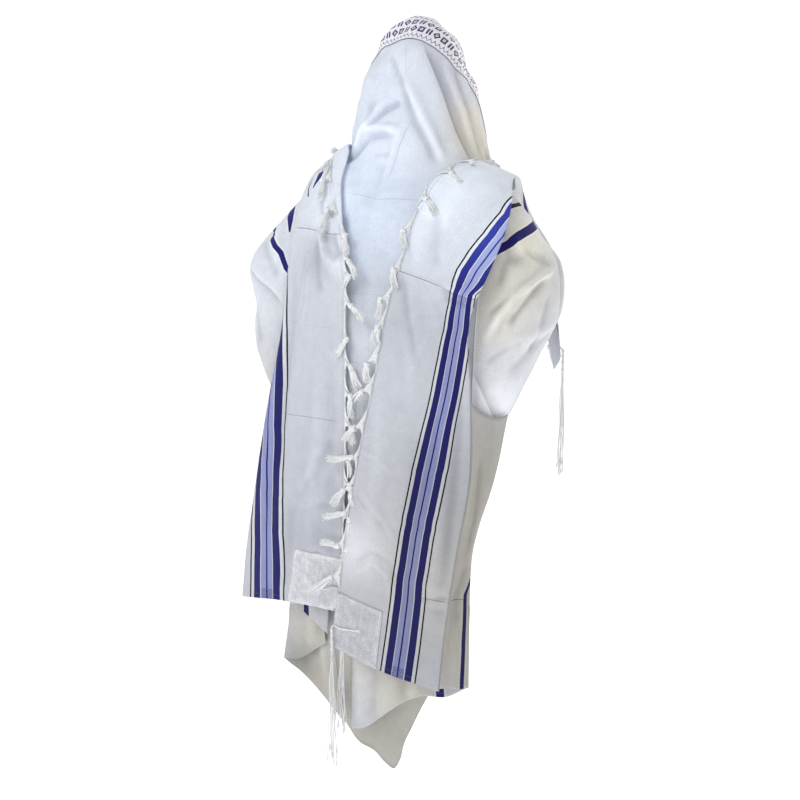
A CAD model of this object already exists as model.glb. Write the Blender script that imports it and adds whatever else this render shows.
"""Looks for the tallit: fine cloth, stripes, neckband, patches, knotted fringe and corner tassels.

Metres, +Z up.  The wearer faces -Y and the wearer's left is +X.  The origin is the underside of the
cloth at the crown of the head.  The tables of sections are those of the solids with finer
hems, in millimetres, and so are all other tables of points.
"""
import math

import bpy
import numpy as np
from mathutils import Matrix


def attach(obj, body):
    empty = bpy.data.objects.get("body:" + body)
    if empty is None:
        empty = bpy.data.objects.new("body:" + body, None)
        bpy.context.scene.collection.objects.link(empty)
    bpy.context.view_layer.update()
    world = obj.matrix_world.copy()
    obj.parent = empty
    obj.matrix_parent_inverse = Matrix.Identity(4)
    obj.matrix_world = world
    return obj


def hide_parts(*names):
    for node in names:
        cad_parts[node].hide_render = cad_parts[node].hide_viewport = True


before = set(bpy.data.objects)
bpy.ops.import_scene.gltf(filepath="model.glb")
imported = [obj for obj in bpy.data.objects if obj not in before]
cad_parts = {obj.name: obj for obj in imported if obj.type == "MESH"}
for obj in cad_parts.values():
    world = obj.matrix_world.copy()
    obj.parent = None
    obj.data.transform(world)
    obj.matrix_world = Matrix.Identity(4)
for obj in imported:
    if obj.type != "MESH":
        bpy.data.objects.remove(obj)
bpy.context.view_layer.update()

MM = 0.001
LEFT, RIGHT = 1, -1
X, Y, Z = 0, 1, 2
INSIDE = np.array((0.0, 0.04, -0.55))   # a place inside the garment

# ---- sizes shared with the solids ------------------------------------------------------------------
WALL = 0.002                  # thickness of the solids' cloth
CLOTH = 0.0013                # thickness of the cloth that shows
SEAM = 0.0006                 # gap between the edges of two stretches of cloth
FOLD_SEAM = 0.0003            # the same where a fold leaves an edge steeply
WOUND_LENGTH = 0.065          # wound part of a corner tassel
BAND_SHARE = (2 / 34, 20 / 30)          # neckband: shares of the panel that it covers
PATCH_SHARE = (0.079, 0.44)             # corner patch: shares of the thrown end that it covers
# Each patch's hole, as shares along and across its thrown end.
HOLES = {"patch_back_left": (0.040, 0.215), "patch_back_right": (0.040, 0.245),
         "patch_front_left": (0.960, 0.245), "patch_front_right": (0.965, 0.26)}

# ---- the neckband, the turned edge and the patterns --------------------------------------------------
# How far past its share the neckband's rear edge lies.  Columns: share across the panel, share of its length.
BAND_REAR = [(0.17, -0.034), (0.28, -0.028), (0.36, -0.010), (0.44, -0.002), (0.52, 0.002), (0.58, 0.009),
             (0.61, 0.004), (0.66, -0.020), (0.83, -0.034)]
# The turned edge of the left end.  Columns: share along the fringed edge, how far the fold lies past it and
# how far the strip reaches over it, mm.
TURNED = [(0.505, 0, 0), (0.525, 1, 8), (0.550, 3, 13), (0.575, 9, 14), (0.595, 18, 14), (0.620, 29, 13),
          (0.660, 32, 12), (0.700, 16, 8), (0.740, 3, 4), (0.765, 0, 0)]
MOTIF_PITCH = 0.0150                    # neckband's motifs
ZIGZAG_PITCH = 0.0046                   # half a tooth of its zigzags
TRELLIS_PITCH = 0.0056                  # half a cell of the patches' trellis
PLAIN = 0.95                            # a place across the flat cloth that has no stripes

# ---- cells of the fine surfaces ----------------------------------------------------------------------
PANEL_CELLS = (270, 170)
HOOD_SHARE = 0.36                       # of the panel's length that has the finer rows
HOOD_ROWS = 160
FLAP_CELLS = (420, 54)
SLEEVE_CELLS = (108, 100)
FOLD_CELLS = (72, 50)
BAND_POINTS = (22, 240)
PATCH_POINTS = 40

# ---- sections -----------------------------------------------------------------------------------------
# The hood and the back, from the face down: y and z of the middle, then points out to the left side.  The
# right side mirrors them.  BACK_HEM is the last row, whole.
PANEL_ROWS = [
    # middle            upper                    half way                 lower                    side
    ((0, 0), (50, -10, -24), (78, -28, -112), (76, -66, -262), (105, -130, -600)),
    ((44, -12), (52, 24, -37), (83, -10, -118), (95, -48, -258), (128, -130, -580)),
    ((83, -42), (52, 62, -62), (89, 11, -132), (112, -30, -254), (146, -118, -530)),
    ((104, -113), (55, 90, -120), (96, 45, -160), (120, 0, -256), (162, -76, -440)),
    ((125, -190), (62, 112, -197), (104, 74, -222), (132, 40, -268), (174, -18, -356)),
    ((153, -280), (66, 142, -282), (112, 128, -288), (144, 98, -294), (180, 52, -316)),
    ((184, -322), (68, 175, -330), (114, 158, -338), (148, 132, -343), (182, 96, -352)),
    ((210, -400), (70, 208, -403), (120, 190, -405), (152, 170, -407), (184, 145, -408)),
    ((232, -500), (70, 230, -500), (122, 211, -500), (155, 195, -500), (184, 174, -500)),
    ((248, -700), (70, 247, -700), (122, 228, -700), (155, 213, -700), (184, 196, -700)),
    ((255, -900), (70, 252, -900), (124, 232, -900), (156, 218, -900), (186, 203, -900)),
    ((242, -1120), (70, 240, -1120), (126, 226, -1120), (160, 218, -1120), (190, 208, -1116)),
]
BACK_HEM = [
    (207, 206, -1240), (199, 208, -1244), (164, 214, -1257), (123, 223, -1283), (98, 227, -1307),
    (64, 229, -1333), (32, 228, -1370), (0, 226, -1382), (-20, 225, -1400), (-40, 224, -1411),
    (-54, 224, -1390), (-62, 224, -1358), (-82, 224, -1312), (-104, 222, -1264), (-148, 214, -1190),
    (-184, 206, -1160),
]
# Height, and how much fuller the hood's left side is there than its right.
HOOD_LEFT = [(-1300, 0), (-1262, 10), (-1150, 9), (-1000, 6), (-860, 0), (-420, 0), (-340, 0), (-300, 5),
    (-260, 8), (-230, 10), (-205, 17), (-175, 17), (-150, 19), (-131, 25), (-112, 28), (-90, 25), (-75, 19),
    (-60, 10), (-40, 5), (-20, 4), (20, 5)]
# The thrown ends, from the hem on the back over the shoulder to the hem in front: points from the fringed
# edge to the far one.
LEFT_FLAP_ROWS = [
    ((58, 272, -1089), (172, 262, -1094), (306, 222, -1120)),
    ((43, 272, -1017), (168, 263, -1018), (295, 222, -1026)),
    ((36, 272, -897), (158, 261, -897), (270, 222, -887)),
    ((35, 266, -710), (145, 253, -715), (238, 216, -710)),
    ((40, 254, -554), (135, 240, -560), (211, 203, -560)),
    ((48, 241, -447), (132, 225, -455), (205, 188, -455)),
    ((76, 205, -350), (148, 190, -362), (210, 158, -383)),
    ((120, 145, -284), (168, 134, -296), (216, 112, -320)),
    ((150, 85, -248), (182, 70, -260), (220, 55, -286)),
    ((165, 20, -256), (194, 0, -270), (220, -15, -300)),
    ((170, -62, -330), (202, -64, -345), (232, -46, -360)),
    ((168, -140, -450), (210, -124, -455), (248, -78, -450)),
    ((170, -195, -580), (214, -168, -565), (254, -105, -530)),
    ((175, -225, -690), (222, -185, -655), (254, -120, -585)),
]
RIGHT_FLAP_ROWS = [
    ((61, 284, -1154), (-44, 280, -1188), (-157, 264, -1212)),
    ((47, 284, -1059), (-56, 281, -1084), (-170, 264, -1090)),
    ((30, 281, -920), (-76, 277, -945), (-186, 256, -955)),
    ((4, 276, -770), (-100, 270, -790), (-205, 240, -800)),
    ((-22, 264, -630), (-115, 259, -645), (-199, 228, -645)),
    ((-43, 251, -500), (-116, 250, -512), (-190, 214, -515)),
    ((-60, 228, -420), (-135, 230, -428), (-215, 188, -435)),
    ((-74, 205, -345), (-147, 204, -352), (-227, 152, -370)),
    ((-90, 161, -285), (-154, 152, -288), (-220, 110, -318)),
    ((-110, 112, -260), (-162, 96, -268), (-205, 72, -283)),
    ((-132, 60, -254), (-164, 42, -268), (-197, 22, -287)),
    ((-148, 6, -276), (-168, -10, -292), (-186, -22, -316)),
    ((-156, -62, -340), (-174, -62, -356), (-194, -46, -374)),
    ((-158, -134, -452), (-186, -118, -458), (-210, -74, -454)),
    ((-162, -190, -580), (-196, -160, -565), (-222, -100, -530)),
    ((-172, -222, -690), (-204, -176, -655), (-222, -112, -580)),
]
# The sleeves.  Columns: place down the front of the thrown end's far edge in thousandths, points, and the
# height where the row meets the side of the back.
LEFT_SLEEVE_ROWS = [
    (0, (208, 30, -291), (207, 60, -300), (200, 90, -320), -350),
    (220, (262, 5, -350), (278, 70, -370), (255, 125, -385), -400),
    (480, (306, 5, -427), (336, 90, -457), (308, 160, -470), -475),
    (700, (302, 0, -500), (325, 90, -520), (290, 168, -530), -545),
    (880, (292, -5, -560), (315, 90, -605), (286, 172, -625), -640),
    (1000, (278, -5, -605), (290, 90, -665), (260, 168, -695), -715),
]
RIGHT_SLEEVE_ROWS = [
    (0, (-191, 34, -304), (-192, 60, -312), (-190, 90, -326), -350),
    (220, (-204, -5, -362), (-244, 52, -378), (-230, 115, -390), -400),
    (480, (-258, -15, -430), (-276, 60, -442), (-250, 140, -455), -475),
    (720, (-262, -30, -512), (-284, 55, -532), (-248, 148, -552), -570),
    (900, (-236, -35, -575), (-246, 55, -620), (-230, 148, -660), -670),
    (1000, (-204, -28, -620), (-214, 60, -692), (-209, 140, -728), -730),
]
# The folds that hang lower.  Columns: height where the row leaves the edge beside it, then its points.
TAIL_RIGHT_ROWS = [
    (-672, (-212, 198, -694), (-222, 166, -706), (-226, 128, -706)),
    (-800, (-206, 212, -805), (-215, 192, -810), (-219, 162, -810)),
    (-960, (-190, 238, -960), (-195, 226, -960), (-194, 205, -955)),
    (-1085, (-176, 249, -1080), (-186, 242, -1080), (-197, 222, -1080)),
    (-1206, (-168, 250, -1208), (-180, 242, -1210), (-197, 222, -1212)),
]
UNDER_RIGHT_ROWS = [
    (-990, (-150, 236, -1000), (-70, 250, -1000), (26, 256, -1000)),
    (-1100, (-155, 236, -1110), (-68, 248, -1120), (30, 254, -1120)),
    (-1214, (-150, 234, -1236), (-102, 242, -1242), (-74, 246, -1258), (-48, 248, -1278), (-30, 249, -1294),
     (-14, 250, -1308), (8, 251, -1326), (37, 252, -1332)),
]
UNDER_LEFT_ROWS = [
    (-900, (250, 214, -900), (160, 240, -900), (75, 256, -900)),
    (-1000, (262, 214, -1000), (168, 243, -1000), (78, 257, -1010)),
    (-1090, (262, 222, -1092), (165, 246, -1106), (85, 257, -1146)),
]
LOWER_LEFT_ROWS = [
    (-1000, (165, 231, -1000), (110, 242, -1000)),
    (-1110, (165, 233, -1115), (105, 243, -1100)),
    (-1240, (158, 231, -1218), (98, 242, -1172)),
]

# ---- creases ---------------------------------------------------------------------------------------
# Columns: kind, width, height (below 0: pressed in), reach of a step's raised side, then the points of
# its line, all in mm.  A step raises the cloth to the right of its line, seen from outside.
HOOD_CREASES = [
    ("ridge", 26, 6.0, 0, (116, 24, -200), (128, 50, -240), (134, 80, -276), (132, 110, -300)),
    ("ridge", 46, 21.0, 0, (40, -30, 10), (66, -10, -50), (84, 0, -112), (98, 20, -160), (114, 20, -215),
        (130, 20, -290)),
    ("ridge", 24, 12.0, 0, (6, -10, 2), (30, 4, -8), (52, 20, -40), (68, 36, -84)),
    ("trough", 30, -13.0, 0, (-6, -20, 2), (-30, -12, -6), (-52, -12, -26), (-72, -16, -66), (-80, -28, -120)),
    ("ridge", 16, 9.0, 0, (126, 104, -262), (112, 132, -290), (98, 156, -318), (86, 178, -344), (74, 196, -370)),
    ("crease", 1.8, 0.35, 0, (8, 70, -32), (7, 86, -47), (0, 101, -81), (0, 106, -118)),
    ("ridge", 7, 7.0, 0, (30, 108, -140), (39, 110, -149), (60, 116, -173), (85, 115, -196), (112, 104, -232),
        (124, 92, -256)),
    ("trough", 9, -8.0, 0, (-4, 117, -146), (14, 117, -154), (38, 116, -166), (60, 116, -180), (76, 117, -190)),
    ("ridge", 7, 6.0, 0, (92, 115, -200), (72, 118, -198), (42, 117, -197), (4, 128, -200), (-10, 128, -202)),
    ("trough", 9, -7.0, 0, (4, 134, -212), (30, 128, -210), (63, 120, -216), (91, 114, -236), (112, 104, -260),
        (120, 98, -276)),
    ("trough", 6, -2.5, 0, (50, 135, -246), (28, 136, -244), (8, 136, -244)),
    ("trough", 6, -4.0, 0, (44, 78, -62), (36, 86, -71), (20, 95, -94), (0, 107, -122), (-14, 120, -162)),
    ("trough", 9, -7.0, 0, (4, 107, -120), (-8, 114, -142), (-29, 126, -182), (-63, 129, -229), (-84, 127, -268)),
    ("ridge", 8, 6.5, 0, (6, 102, -96), (-6, 108, -120), (-40, 121, -166), (-76, 120, -229), (-99, 119, -268)),
    ("crease", 2.0, 0.55, 0, (-26, 124, -172), (-20, 126, -188), (-6, 134, -226), (5, 153, -280), (8, 162, -300)),
    ("ridge", 6, 2.5, 0, (-12, 124, -176), (4, 134, -222), (15, 150, -274), (18, 160, -296)),
    ("step", 6, 6.0, 44, (-14, 68, -28), (-20, 76, -40), (-32, 85, -61), (-57, 87, -111), (-80, 85, -165),
        (-104, 81, -219), (-120, 78, -258), (-128, 74, -290)),
    ("trough", 13, -2.5, 0, (-36, 72, -50), (-50, 74, -72), (-72, 72, -114), (-92, 66, -165), (-110, 62, -215),
        (-118, 60, -250)),
    ("ridge", 7, 4.0, 0, (-56, 54, -60), (-66, 63, -96), (-82, 59, -134), (-93, 51, -168), (-105, 48, -212),
     (-120, 52, -255), (-124, 52, -280)),
    ("trough", 8, -3.5, 0, (-64, 40, -66), (-76, 44, -100), (-92, 40, -140), (-102, 34, -180), (-114, 32, -225),
        (-126, 34, -268)),
    ("ridge", 8, 4.5, 0, (-70, 40, -88), (-82, 24, -113), (-102, 18, -174), (-113, 6, -223), (-118, 0, -250)),
    ("trough", 8, -1.5, 0, (-82, 12, -104), (-88, 10, -133), (-106, 0, -192), (-113, -18, -241),
        (-116, -28, -270)),
    ("trough", 18, -3.0, 0, (20, 140, -250), (26, 160, -300), (30, 185, -350)),
    ("trough", 10, -3.0, 0, (76, 30, -70), (92, 20, -140), (108, 5, -220), (124, -20, -310)),
    ("ridge", 8, 3.0, 0, (66, -10, -60), (84, -20, -130), (90, -50, -240), (98, -92, -400)),
    ("trough", 9, -3.0, 0, (104, -70, -300), (114, -92, -430), (116, -104, -570)),
    ("ridge", 9, 3.5, 0, (-84, -14, -128), (-96, -38, -240), (-108, -80, -400), (-114, -100, -540)),
    ("trough", 12, -4.0, 0, (-98, 20, -180), (-116, -12, -280), (-132, -60, -410), (-138, -90, -520)),
    ("trough", 9, -3.0, 0, (88, 8, -120), (112, -20, -250), (130, -62, -400), (138, -92, -520)),
]
BACK_CREASES = [
    ("ridge", 24, 13.0, 0, (-8, 206, -400), (8, 226, -560), (22, 236, -740), (30, 238, -860)),
    ("crease", 2.2, 0.45, 0, (100, 150, -318), (5, 184, -322), (-80, 165, -322)),
    ("crease", 2.2, 0.3, 0, (190, 200, -668), (0, 238, -662), (-190, 200, -668)),
    ("crease", 2.2, 0.8, 0, (190, 206, -1010), (0, 242, -1012), (-190, 206, -1008)),
    ("ridge", 22, 5.0, 0, (52, 204, -400), (58, 228, -700), (44, 236, -1100), (30, 228, -1400)),
    ("trough", 18, -4.0, 0, (12, 220, -430), (16, 238, -800), (6, 236, -1250)),
    ("ridge", 16, 4.0, 0, (-30, 214, -440), (-34, 236, -740), (-36, 236, -860)),
    ("trough", 20, -5.0, 0, (-96, 200, -480), (-88, 230, -900), (-92, 226, -1240)),
    ("trough", 20, -5.0, 0, (110, 196, -480), (118, 224, -900), (128, 222, -1240)),
    ("ridge", 12, 4.0, 0, (150, 205, -900), (120, 226, -1130), (88, 228, -1330)),
    ("step", 4, 4.0, 30, (86, 232, -1150), (78, 232, -1240), (60, 230, -1350)),
]
RIGHT_FLAP_CREASES = [
    ("crease", 2.4, 1.3, 0, (-30, 236, -432), (-61, 235, -442), (-116, 239, -455), (-156, 229, -470)),
    ("step", 2.2, 4.5, 22, (-215, 200, -488), (-193, 208, -484), (-182, 215, -483), (-168, 223, -477),
     (-150, 230, -468), (-138, 234, -464)),
    ("trough", 5, -3.0, 0, (-144, 236, -482), (-156, 230, -486), (-178, 222, -494), (-200, 208, -500)),
    ("trough", 13, -3.5, 0, (-118, 196, -330), (-121, 211, -357), (-125, 223, -394), (-130, 234, -440)),
    ("ridge", 14, 2.5, 0, (-92, 205, -350), (-90, 222, -400), (-96, 238, -455)),
    ("trough", 9, -4.5, 0, (-62, 232, -430), (-65, 238, -454), (-78, 248, -490), (-95, 259, -550),
        (-102, 262, -600)),
    ("ridge", 4, 1.6, 0, (6, 276, -764), (-4, 276, -770), (-35, 278, -777), (-60, 275, -800), (-70, 274, -812)),
    ("ridge", 4, 1.7, 0, (22, 279, -832), (14, 279, -845), (-15, 281, -870), (-36, 280, -897), (-46, 279, -915)),
    ("ridge", 4, 1.4, 0, (8, 279, -832), (-3, 279, -845), (-32, 281, -870), (-69, 277, -922), (-80, 276, -940)),
    ("trough", 4, -2.2, 0, (14, 279, -838), (4, 280, -856), (-24, 280, -882), (-52, 278, -916)),
    ("trough", 4, -2.0, 0, (-120, 271, -1037), (-132, 270, -1035), (-161, 265, -1029), (-177, 262, -1029)),
    ("ridge", 12, 3.0, 0, (-90, 248, -480), (-92, 256, -560), (-100, 264, -660)),
    ("ridge", 16, 3.0, 0, (-40, 262, -640), (-34, 276, -800), (-16, 281, -960)),
    ("trough", 16, -3.0, 0, (-118, 262, -700), (-104, 272, -840), (-88, 278, -980), (-84, 280, -1080)),
    ("ridge", 5, 2.2, 0, (8, 282, -1006), (-2, 282, -995), (-29, 283, -976), (-55, 282, -996), (-63, 280, -1027),
        (-64, 280, -1040)),
    ("trough", 6, -1.8, 0, (16, 284, -990), (5, 284, -978), (-27, 280, -957), (-62, 278, -972), (-77, 276, -1011),
        (-80, 276, -1030)),
    ("crease", 2.4, 1.0, 0, (-118, 272, -1032), (-140, 268, -1033), (-176, 262, -1036)),
    ("ridge", 9, 2.2, 0, (-130, 268, -1010), (-158, 264, -1014), (-178, 260, -1012)),
    ("trough", 9, -2.2, 0, (-128, 270, -1050), (-158, 266, -1056), (-176, 262, -1056)),
    ("ridge", 11, 3.0, 0, (-150, 246, -620), (-158, 252, -760), (-150, 262, -930), (-138, 270, -1100)),
    ("trough", 10, -3.5, 0, (-176, 236, -560), (-184, 242, -720), (-172, 256, -900), (-160, 264, -1040)),
    ("trough", 8, -3.0, 0, (-170, -80, -360), (-176, -130, -460), (-184, -180, -600)),
    ("ridge", 8, 3.0, 0, (-192, -40, -340), (-204, -96, -450), (-208, -140, -580)),
]
LEFT_FLAP_CREASES = [
    ("ridge", 7, 6.0, 0, (122, 206, -376), (114, 216, -392), (99, 228, -421), (75, 234, -436), (57, 236, -434),
        (46, 238, -428)),
    ("trough", 7, -6.0, 0, (92, 214, -380), (83, 221, -396), (73, 228, -412), (59, 233, -424)),
    ("trough", 8, -2.0, 0, (66, 262, -748), (75, 263, -770), (93, 267, -802), (121, 265, -850), (132, 264, -868)),
    ("trough", 6, -1.4, 0, (140, 266, -912), (126, 268, -903), (80, 268, -886), (64, 268, -880)),
    ("trough", 5, -1.4, 0, (148, 206, -420), (154, 212, -443), (163, 219, -511), (166, 222, -540)),
    ("crease", 2.4, 1.3, 0, (200, 166, -384), (150, 196, -381), (118, 208, -384)),
    ("crease", 2.4, 1.0, 0, (112, 210, -386), (92, 214, -386), (66, 220, -384)),
    ("crease", 2.4, 0.7, 0, (200, 236, -728), (138, 255, -724), (90, 262, -722), (36, 266, -725)),
    ("ridge", 4, 1.6, 0, (134, 222, -440), (138, 232, -508), (149, 236, -565)),
    ("trough", 10, -2.0, 0, (60, 266, -752), (79, 266, -799), (104, 265, -842), (128, 263, -880)),
    ("ridge", 9, 2.5, 0, (84, 264, -760), (104, 263, -810), (128, 262, -850)),
    ("ridge", 8, 3.0, 0, (118, 206, -378), (109, 217, -400), (100, 226, -430), (80, 234, -446), (58, 240, -450)),
    ("trough", 9, -4.0, 0, (128, 206, -390), (122, 216, -420), (112, 228, -462), (100, 236, -500)),
    ("trough", 6, -5.0, 0, (144, 168, -322), (137, 178, -334), (128, 188, -346), (114, 198, -354)),
    ("step", 3, 4.0, 25, (126, 184, -340), (110, 196, -350), (92, 204, -364)),
    ("trough", 13, -3.5, 0, (176, 196, -430), (176, 226, -560), (188, 240, -720), (204, 248, -880)),
    ("ridge", 12, 3.0, 0, (196, 196, -460), (206, 216, -600), (226, 226, -780), (250, 232, -980)),
    ("ridge", 14, 2.5, 0, (96, 250, -560), (100, 262, -700), (112, 266, -900), (126, 267, -1060)),
    ("trough", 14, -2.5, 0, (70, 256, -600), (66, 268, -740), (70, 272, -900)),
    ("trough", 16, -3.0, 0, (160, 262, -880), (170, 264, -980), (180, 262, -1080)),
    ("ridge", 7, 2.0, 0, (126, 268, -980), (98, 270, -972), (70, 272, -984), (54, 272, -1000)),
    ("trough", 8, -3.0, 0, (186, -80, -360), (196, -140, -460), (204, -186, -600)),
    ("ridge", 8, 3.0, 0, (214, -50, -350), (232, -100, -450), (238, -140, -570)),
]
RIGHT_SLEEVE_CREASES = [
    ("ridge", 8, 9.0, 0, (-284, 40, -436), (-282, 58, -444), (-273, 125, -460), (-249, 158, -484),
        (-222, 167, -521), (-207, 176, -551), (-196, 182, -575)),
    ("trough", 7, -7.0, 0, (-284, 80, -456), (-280, 95, -461), (-264, 130, -491), (-244, 147, -522),
        (-232, 154, -546)),
    ("trough", 6, -4.0, 0, (-278, 98, -446), (-275, 111, -450), (-261, 143, -464), (-243, 161, -486),
        (-214, 172, -511), (-202, 176, -524)),
    ("trough", 15, -7.0, 0, (-274, 50, -428), (-271, 66, -432), (-251, 105, -415), (-234, 127, -422),
        (-220, 140, -430)),
    ("trough", 7, -3.0, 0, (-200, 182, -610), (-209, 178, -601), (-233, 163, -582), (-256, 142, -571),
        (-266, 130, -566)),
    ("trough", 12, -5.0, 0, (-282, 66, -480), (-279, 81, -500), (-278, 91, -534), (-264, 101, -577),
        (-254, 106, -610)),
    ("step", 2.5, 4.0, 26, (-180, 196, -610), (-188, 192, -629), (-203, 181, -670), (-211, 146, -728)),
    ("trough", 9, -4.0, 0, (-206, 120, -352), (-222, 132, -420), (-214, 156, -480)),
    ("ridge", 9, 3.0, 0, (-226, 118, -372), (-244, 116, -410), (-262, 96, -440)),
    ("trough", 12, -4.0, 0, (-284, 40, -560), (-268, 110, -590), (-234, 160, -630)),
    ("ridge", 12, 4.0, 0, (-280, 20, -540), (-262, 120, -560), (-222, 166, -590)),
    ("trough", 10, -5.0, 0, (-230, -10, -350), (-262, -20, -450), (-266, -40, -560)),
    ("ridge", 9, 4.0, 0, (-216, -60, -420), (-240, -70, -500), (-240, -80, -570)),
    ("trough", 10, -5.0, 0, (-278, 10, -380), (-284, 20, -500), (-272, 10, -600)),
]
LEFT_SLEEVE_CREASES = [
    ("step", 3, -4.0, 30, (310, 160, -462), (286, 175, -483), (248, 179, -503), (216, 182, -532)),
    ("trough", 9, -3.5, 0, (300, 140, -404), (270, 150, -440), (230, 168, -490)),
    ("ridge", 9, 3.0, 0, (266, 120, -372), (262, 142, -414), (236, 160, -462)),
    ("trough", 12, -4.0, 0, (318, 120, -520), (296, 160, -560), (262, 178, -620)),
    ("ridge", 10, 3.5, 0, (330, 100, -470), (322, 140, -520), (300, 164, -600), (282, 168, -660)),
    ("trough", 11, -5.0, 0, (262, 10, -350), (300, 10, -440), (300, 0, -560)),
    ("ridge", 10, 5.0, 0, (250, -50, -420), (278, -50, -500), (276, -50, -570)),
    ("trough", 12, -5.0, 0, (320, 50, -440), (318, 50, -540), (300, 50, -640)),
    ("ridge", 12, 5.0, 0, (336, 90, -440), (330, 90, -540), (304, 100, -640)),
]
LOW_CREASES = {
    "tail_right": [
        ("crease", 2.4, 1.2, 0, (-160, 262, -1032), (-180, 250, -1034), (-200, 230, -1036)),
        ("trough", 8, -3.0, 0, (-196, 226, -960), (-186, 246, -1020), (-182, 248, -1100)),
        ("trough", 7, -3.0, 0, (-212, 205, -760), (-206, 215, -880), (-194, 232, -960)),
    ],
    "under_fold_right": [
        ("trough", 14, -4.0, 0, (-60, 250, -1100), (-66, 248, -1190), (-72, 246, -1270)),
        ("ridge", 12, 4.0, 0, (-100, 246, -1100), (-94, 246, -1180), (-88, 244, -1260)),
        ("trough", 12, -4.0, 0, (-8, 252, -1120), (-14, 250, -1220), (-6, 250, -1320)),
        ("ridge", 9, 3.0, 0, (24, 254, -1140), (18, 252, -1240), (22, 251, -1330)),
    ],
    "under_fold_left": [
        ("trough", 10, -3.0, 0, (180, 240, -980), (176, 244, -1050), (168, 246, -1110)),
        ("ridge", 10, 3.0, 0, (130, 250, -980), (126, 252, -1060), (120, 254, -1130)),
    ],
    "lower_fold_left": [
        ("ridge", 12, 3.0, 0, (130, 238, -1040), (134, 238, -1120), (138, 236, -1200)),
        ("trough", 10, -3.0, 0, (104, 242, -1060), (112, 240, -1110), (118, 240, -1170)),
    ],
}

# ---- stripes ---------------------------------------------------------------------------------------
# Where the group of stripes lies on each thrown end.  Columns: distance up the fringed edge from the
# hem, then the distances of the group's two thin lines from that edge.
RIGHT_GROUP = [(0, 109, 178), (180, 109, 174), (400, 110, 174), (480, 113, 169), (560, 114, 168), (640, 115, 164),
    (691, 113, 157), (701, 111, 156), (715, 109, 166), (725, 107, 172), (746, 108, 179), (782, 119, 195),
    (817, 134, 206), (865, 146, 207), (911, 144, 206), (1300, 141, 206)]
LEFT_GROUP = [(0, 123, 225), (70, 137, 237), (130, 147, 244), (320, 153, 256), (420, 152, 261), (530, 159, 273),
    (620, 168, 280), (660, 176, 288), (700, 178, 290), (760, 166, 280), (900, 146, 230), (1300, 143, 215)]
GROUP_LINES = (0.1215, 0.1910)          # the two thin lines in the flat cloth, from the fringed edge
# Bands of the group and the two single stripes.  Columns: where each begins, its colour's name.
BANDS = [
    (0.0, "cloth"), (119.8, "line"), (123.2, "white"), (128.5, "navy"), (143.0, "white"), (144.5, "light"),
    (154.5, "navy"), (157.5, "light"), (167.5, "white"), (169.0, "navy"), (183.5, "white"), (189.3, "line"),
    (192.7, "cloth"), (276.0, "white"), (280.0, "navy"), (298.0, "white"), (302.0, "cloth"),
    (334.0, "white"), (338.0, "navy"), (356.0, "white"), (360.0, "cloth"),
]
BAND_REACH = 400.0
COLOURS = {
    "cloth": (0.752, 0.777, 0.842), "white": (0.84, 0.85, 0.89), "line": (0.012, 0.012, 0.035),
    "navy": (0.015, 0.014, 0.165), "light": (0.415, 0.450, 0.800),
}
# The same where the light falls full on the stripes.
LIT_COLOURS = {**COLOURS, "navy": (0.040, 0.055, 0.400), "light": (0.500, 0.560, 0.920)}

# Stripes on the folds, where the same cloth turns another way.
# Columns: half width (one, or some from the first point to the last), then the points of its middle line.
MARKS = {
    "sleeve_right": [
        (8.2, (-190, 150, -420), (-208, 136, -404), (-224, 122, -393), (-232, 106, -383), (-239, 74, -374),
            (-238, 49, -369), (-227, 28, -366), (-215, 14, -364), (-203, 1, -358), (-196, -5, -342),
            (-192, -6, -324), (-188, -7, -306)),
    ],
    "sleeve_left": [
        (5.6, (182, 176, -478), (205, 172, -474), (221, 168, -461), (238, 160, -435), (254, 154, -424),
            (269, 143, -410)),
        ((3.2, 5.0, 7.5, 7.5, 7.5, 7.5), (266, 141, -405), (272, 126, -397), (287, 106, -396), (295, 77, -389),
            (293, 48, -381), (286, 25, -375), (275, 5, -367), (261, -11, -356), (243, -23, -344),
            (225, -35, -332)),
        ((2.0, 9.0, 9.5, 8.0, 8.0, 8.0), (231, 139, -396), (238, 124, -376), (248, 104, -360), (262, 70, -352),
         (258, 40, -345), (250, 13, -336), (240, 2, -325), (228, -5, -312), (217, -12, -298)),
    ],
    "tail_right": [(4.2, (-196, 214, -1004), (-192, 230, -1026), (-191, 234, -1115), (-188, 234, -1240))],
    "flap_left": [((7.0, 9.5, 7.5, 1.5), (172, 94, -266), (171, 111, -277), (170, 130, -292), (174, 145, -310))],
    "under_fold_right": [(8.0, (-140, 236, -1130), (-146, 236, -1240))],
    "under_fold_left": [(7.0, (128, 250, -900), (134, 250, -1010), (138, 248, -1180))],
}
# Thin lines beside a stripe on the folds, like the group's own lines.
THIN_MARKS = {
    "sleeve_left": [(1.5, (206, 78, -308), (214, 92, -326), (216, 104, -344))],
    "sleeve_right": [(1.3, (-198, 78, -318), (-197, 52, -322), (-194, 24, -325)),
                     (5.0, (-203, 88, -334), (-206, 70, -334), (-208, 52, -333)),
                     (2.2, (-196, 14, -332), (-205, 20, -343), (-215, 30, -352))],
    "flap_left": [(2.2, (190, 92, -278), (200, 98, -288), (199, 112, -300), (192, 130, -313), (181, 150, -325))],
    "tail_right": [(1.0, (-202, 206, -1000), (-197, 220, -1030), (-196, 224, -1115), (-193, 226, -1240))],
}


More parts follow.
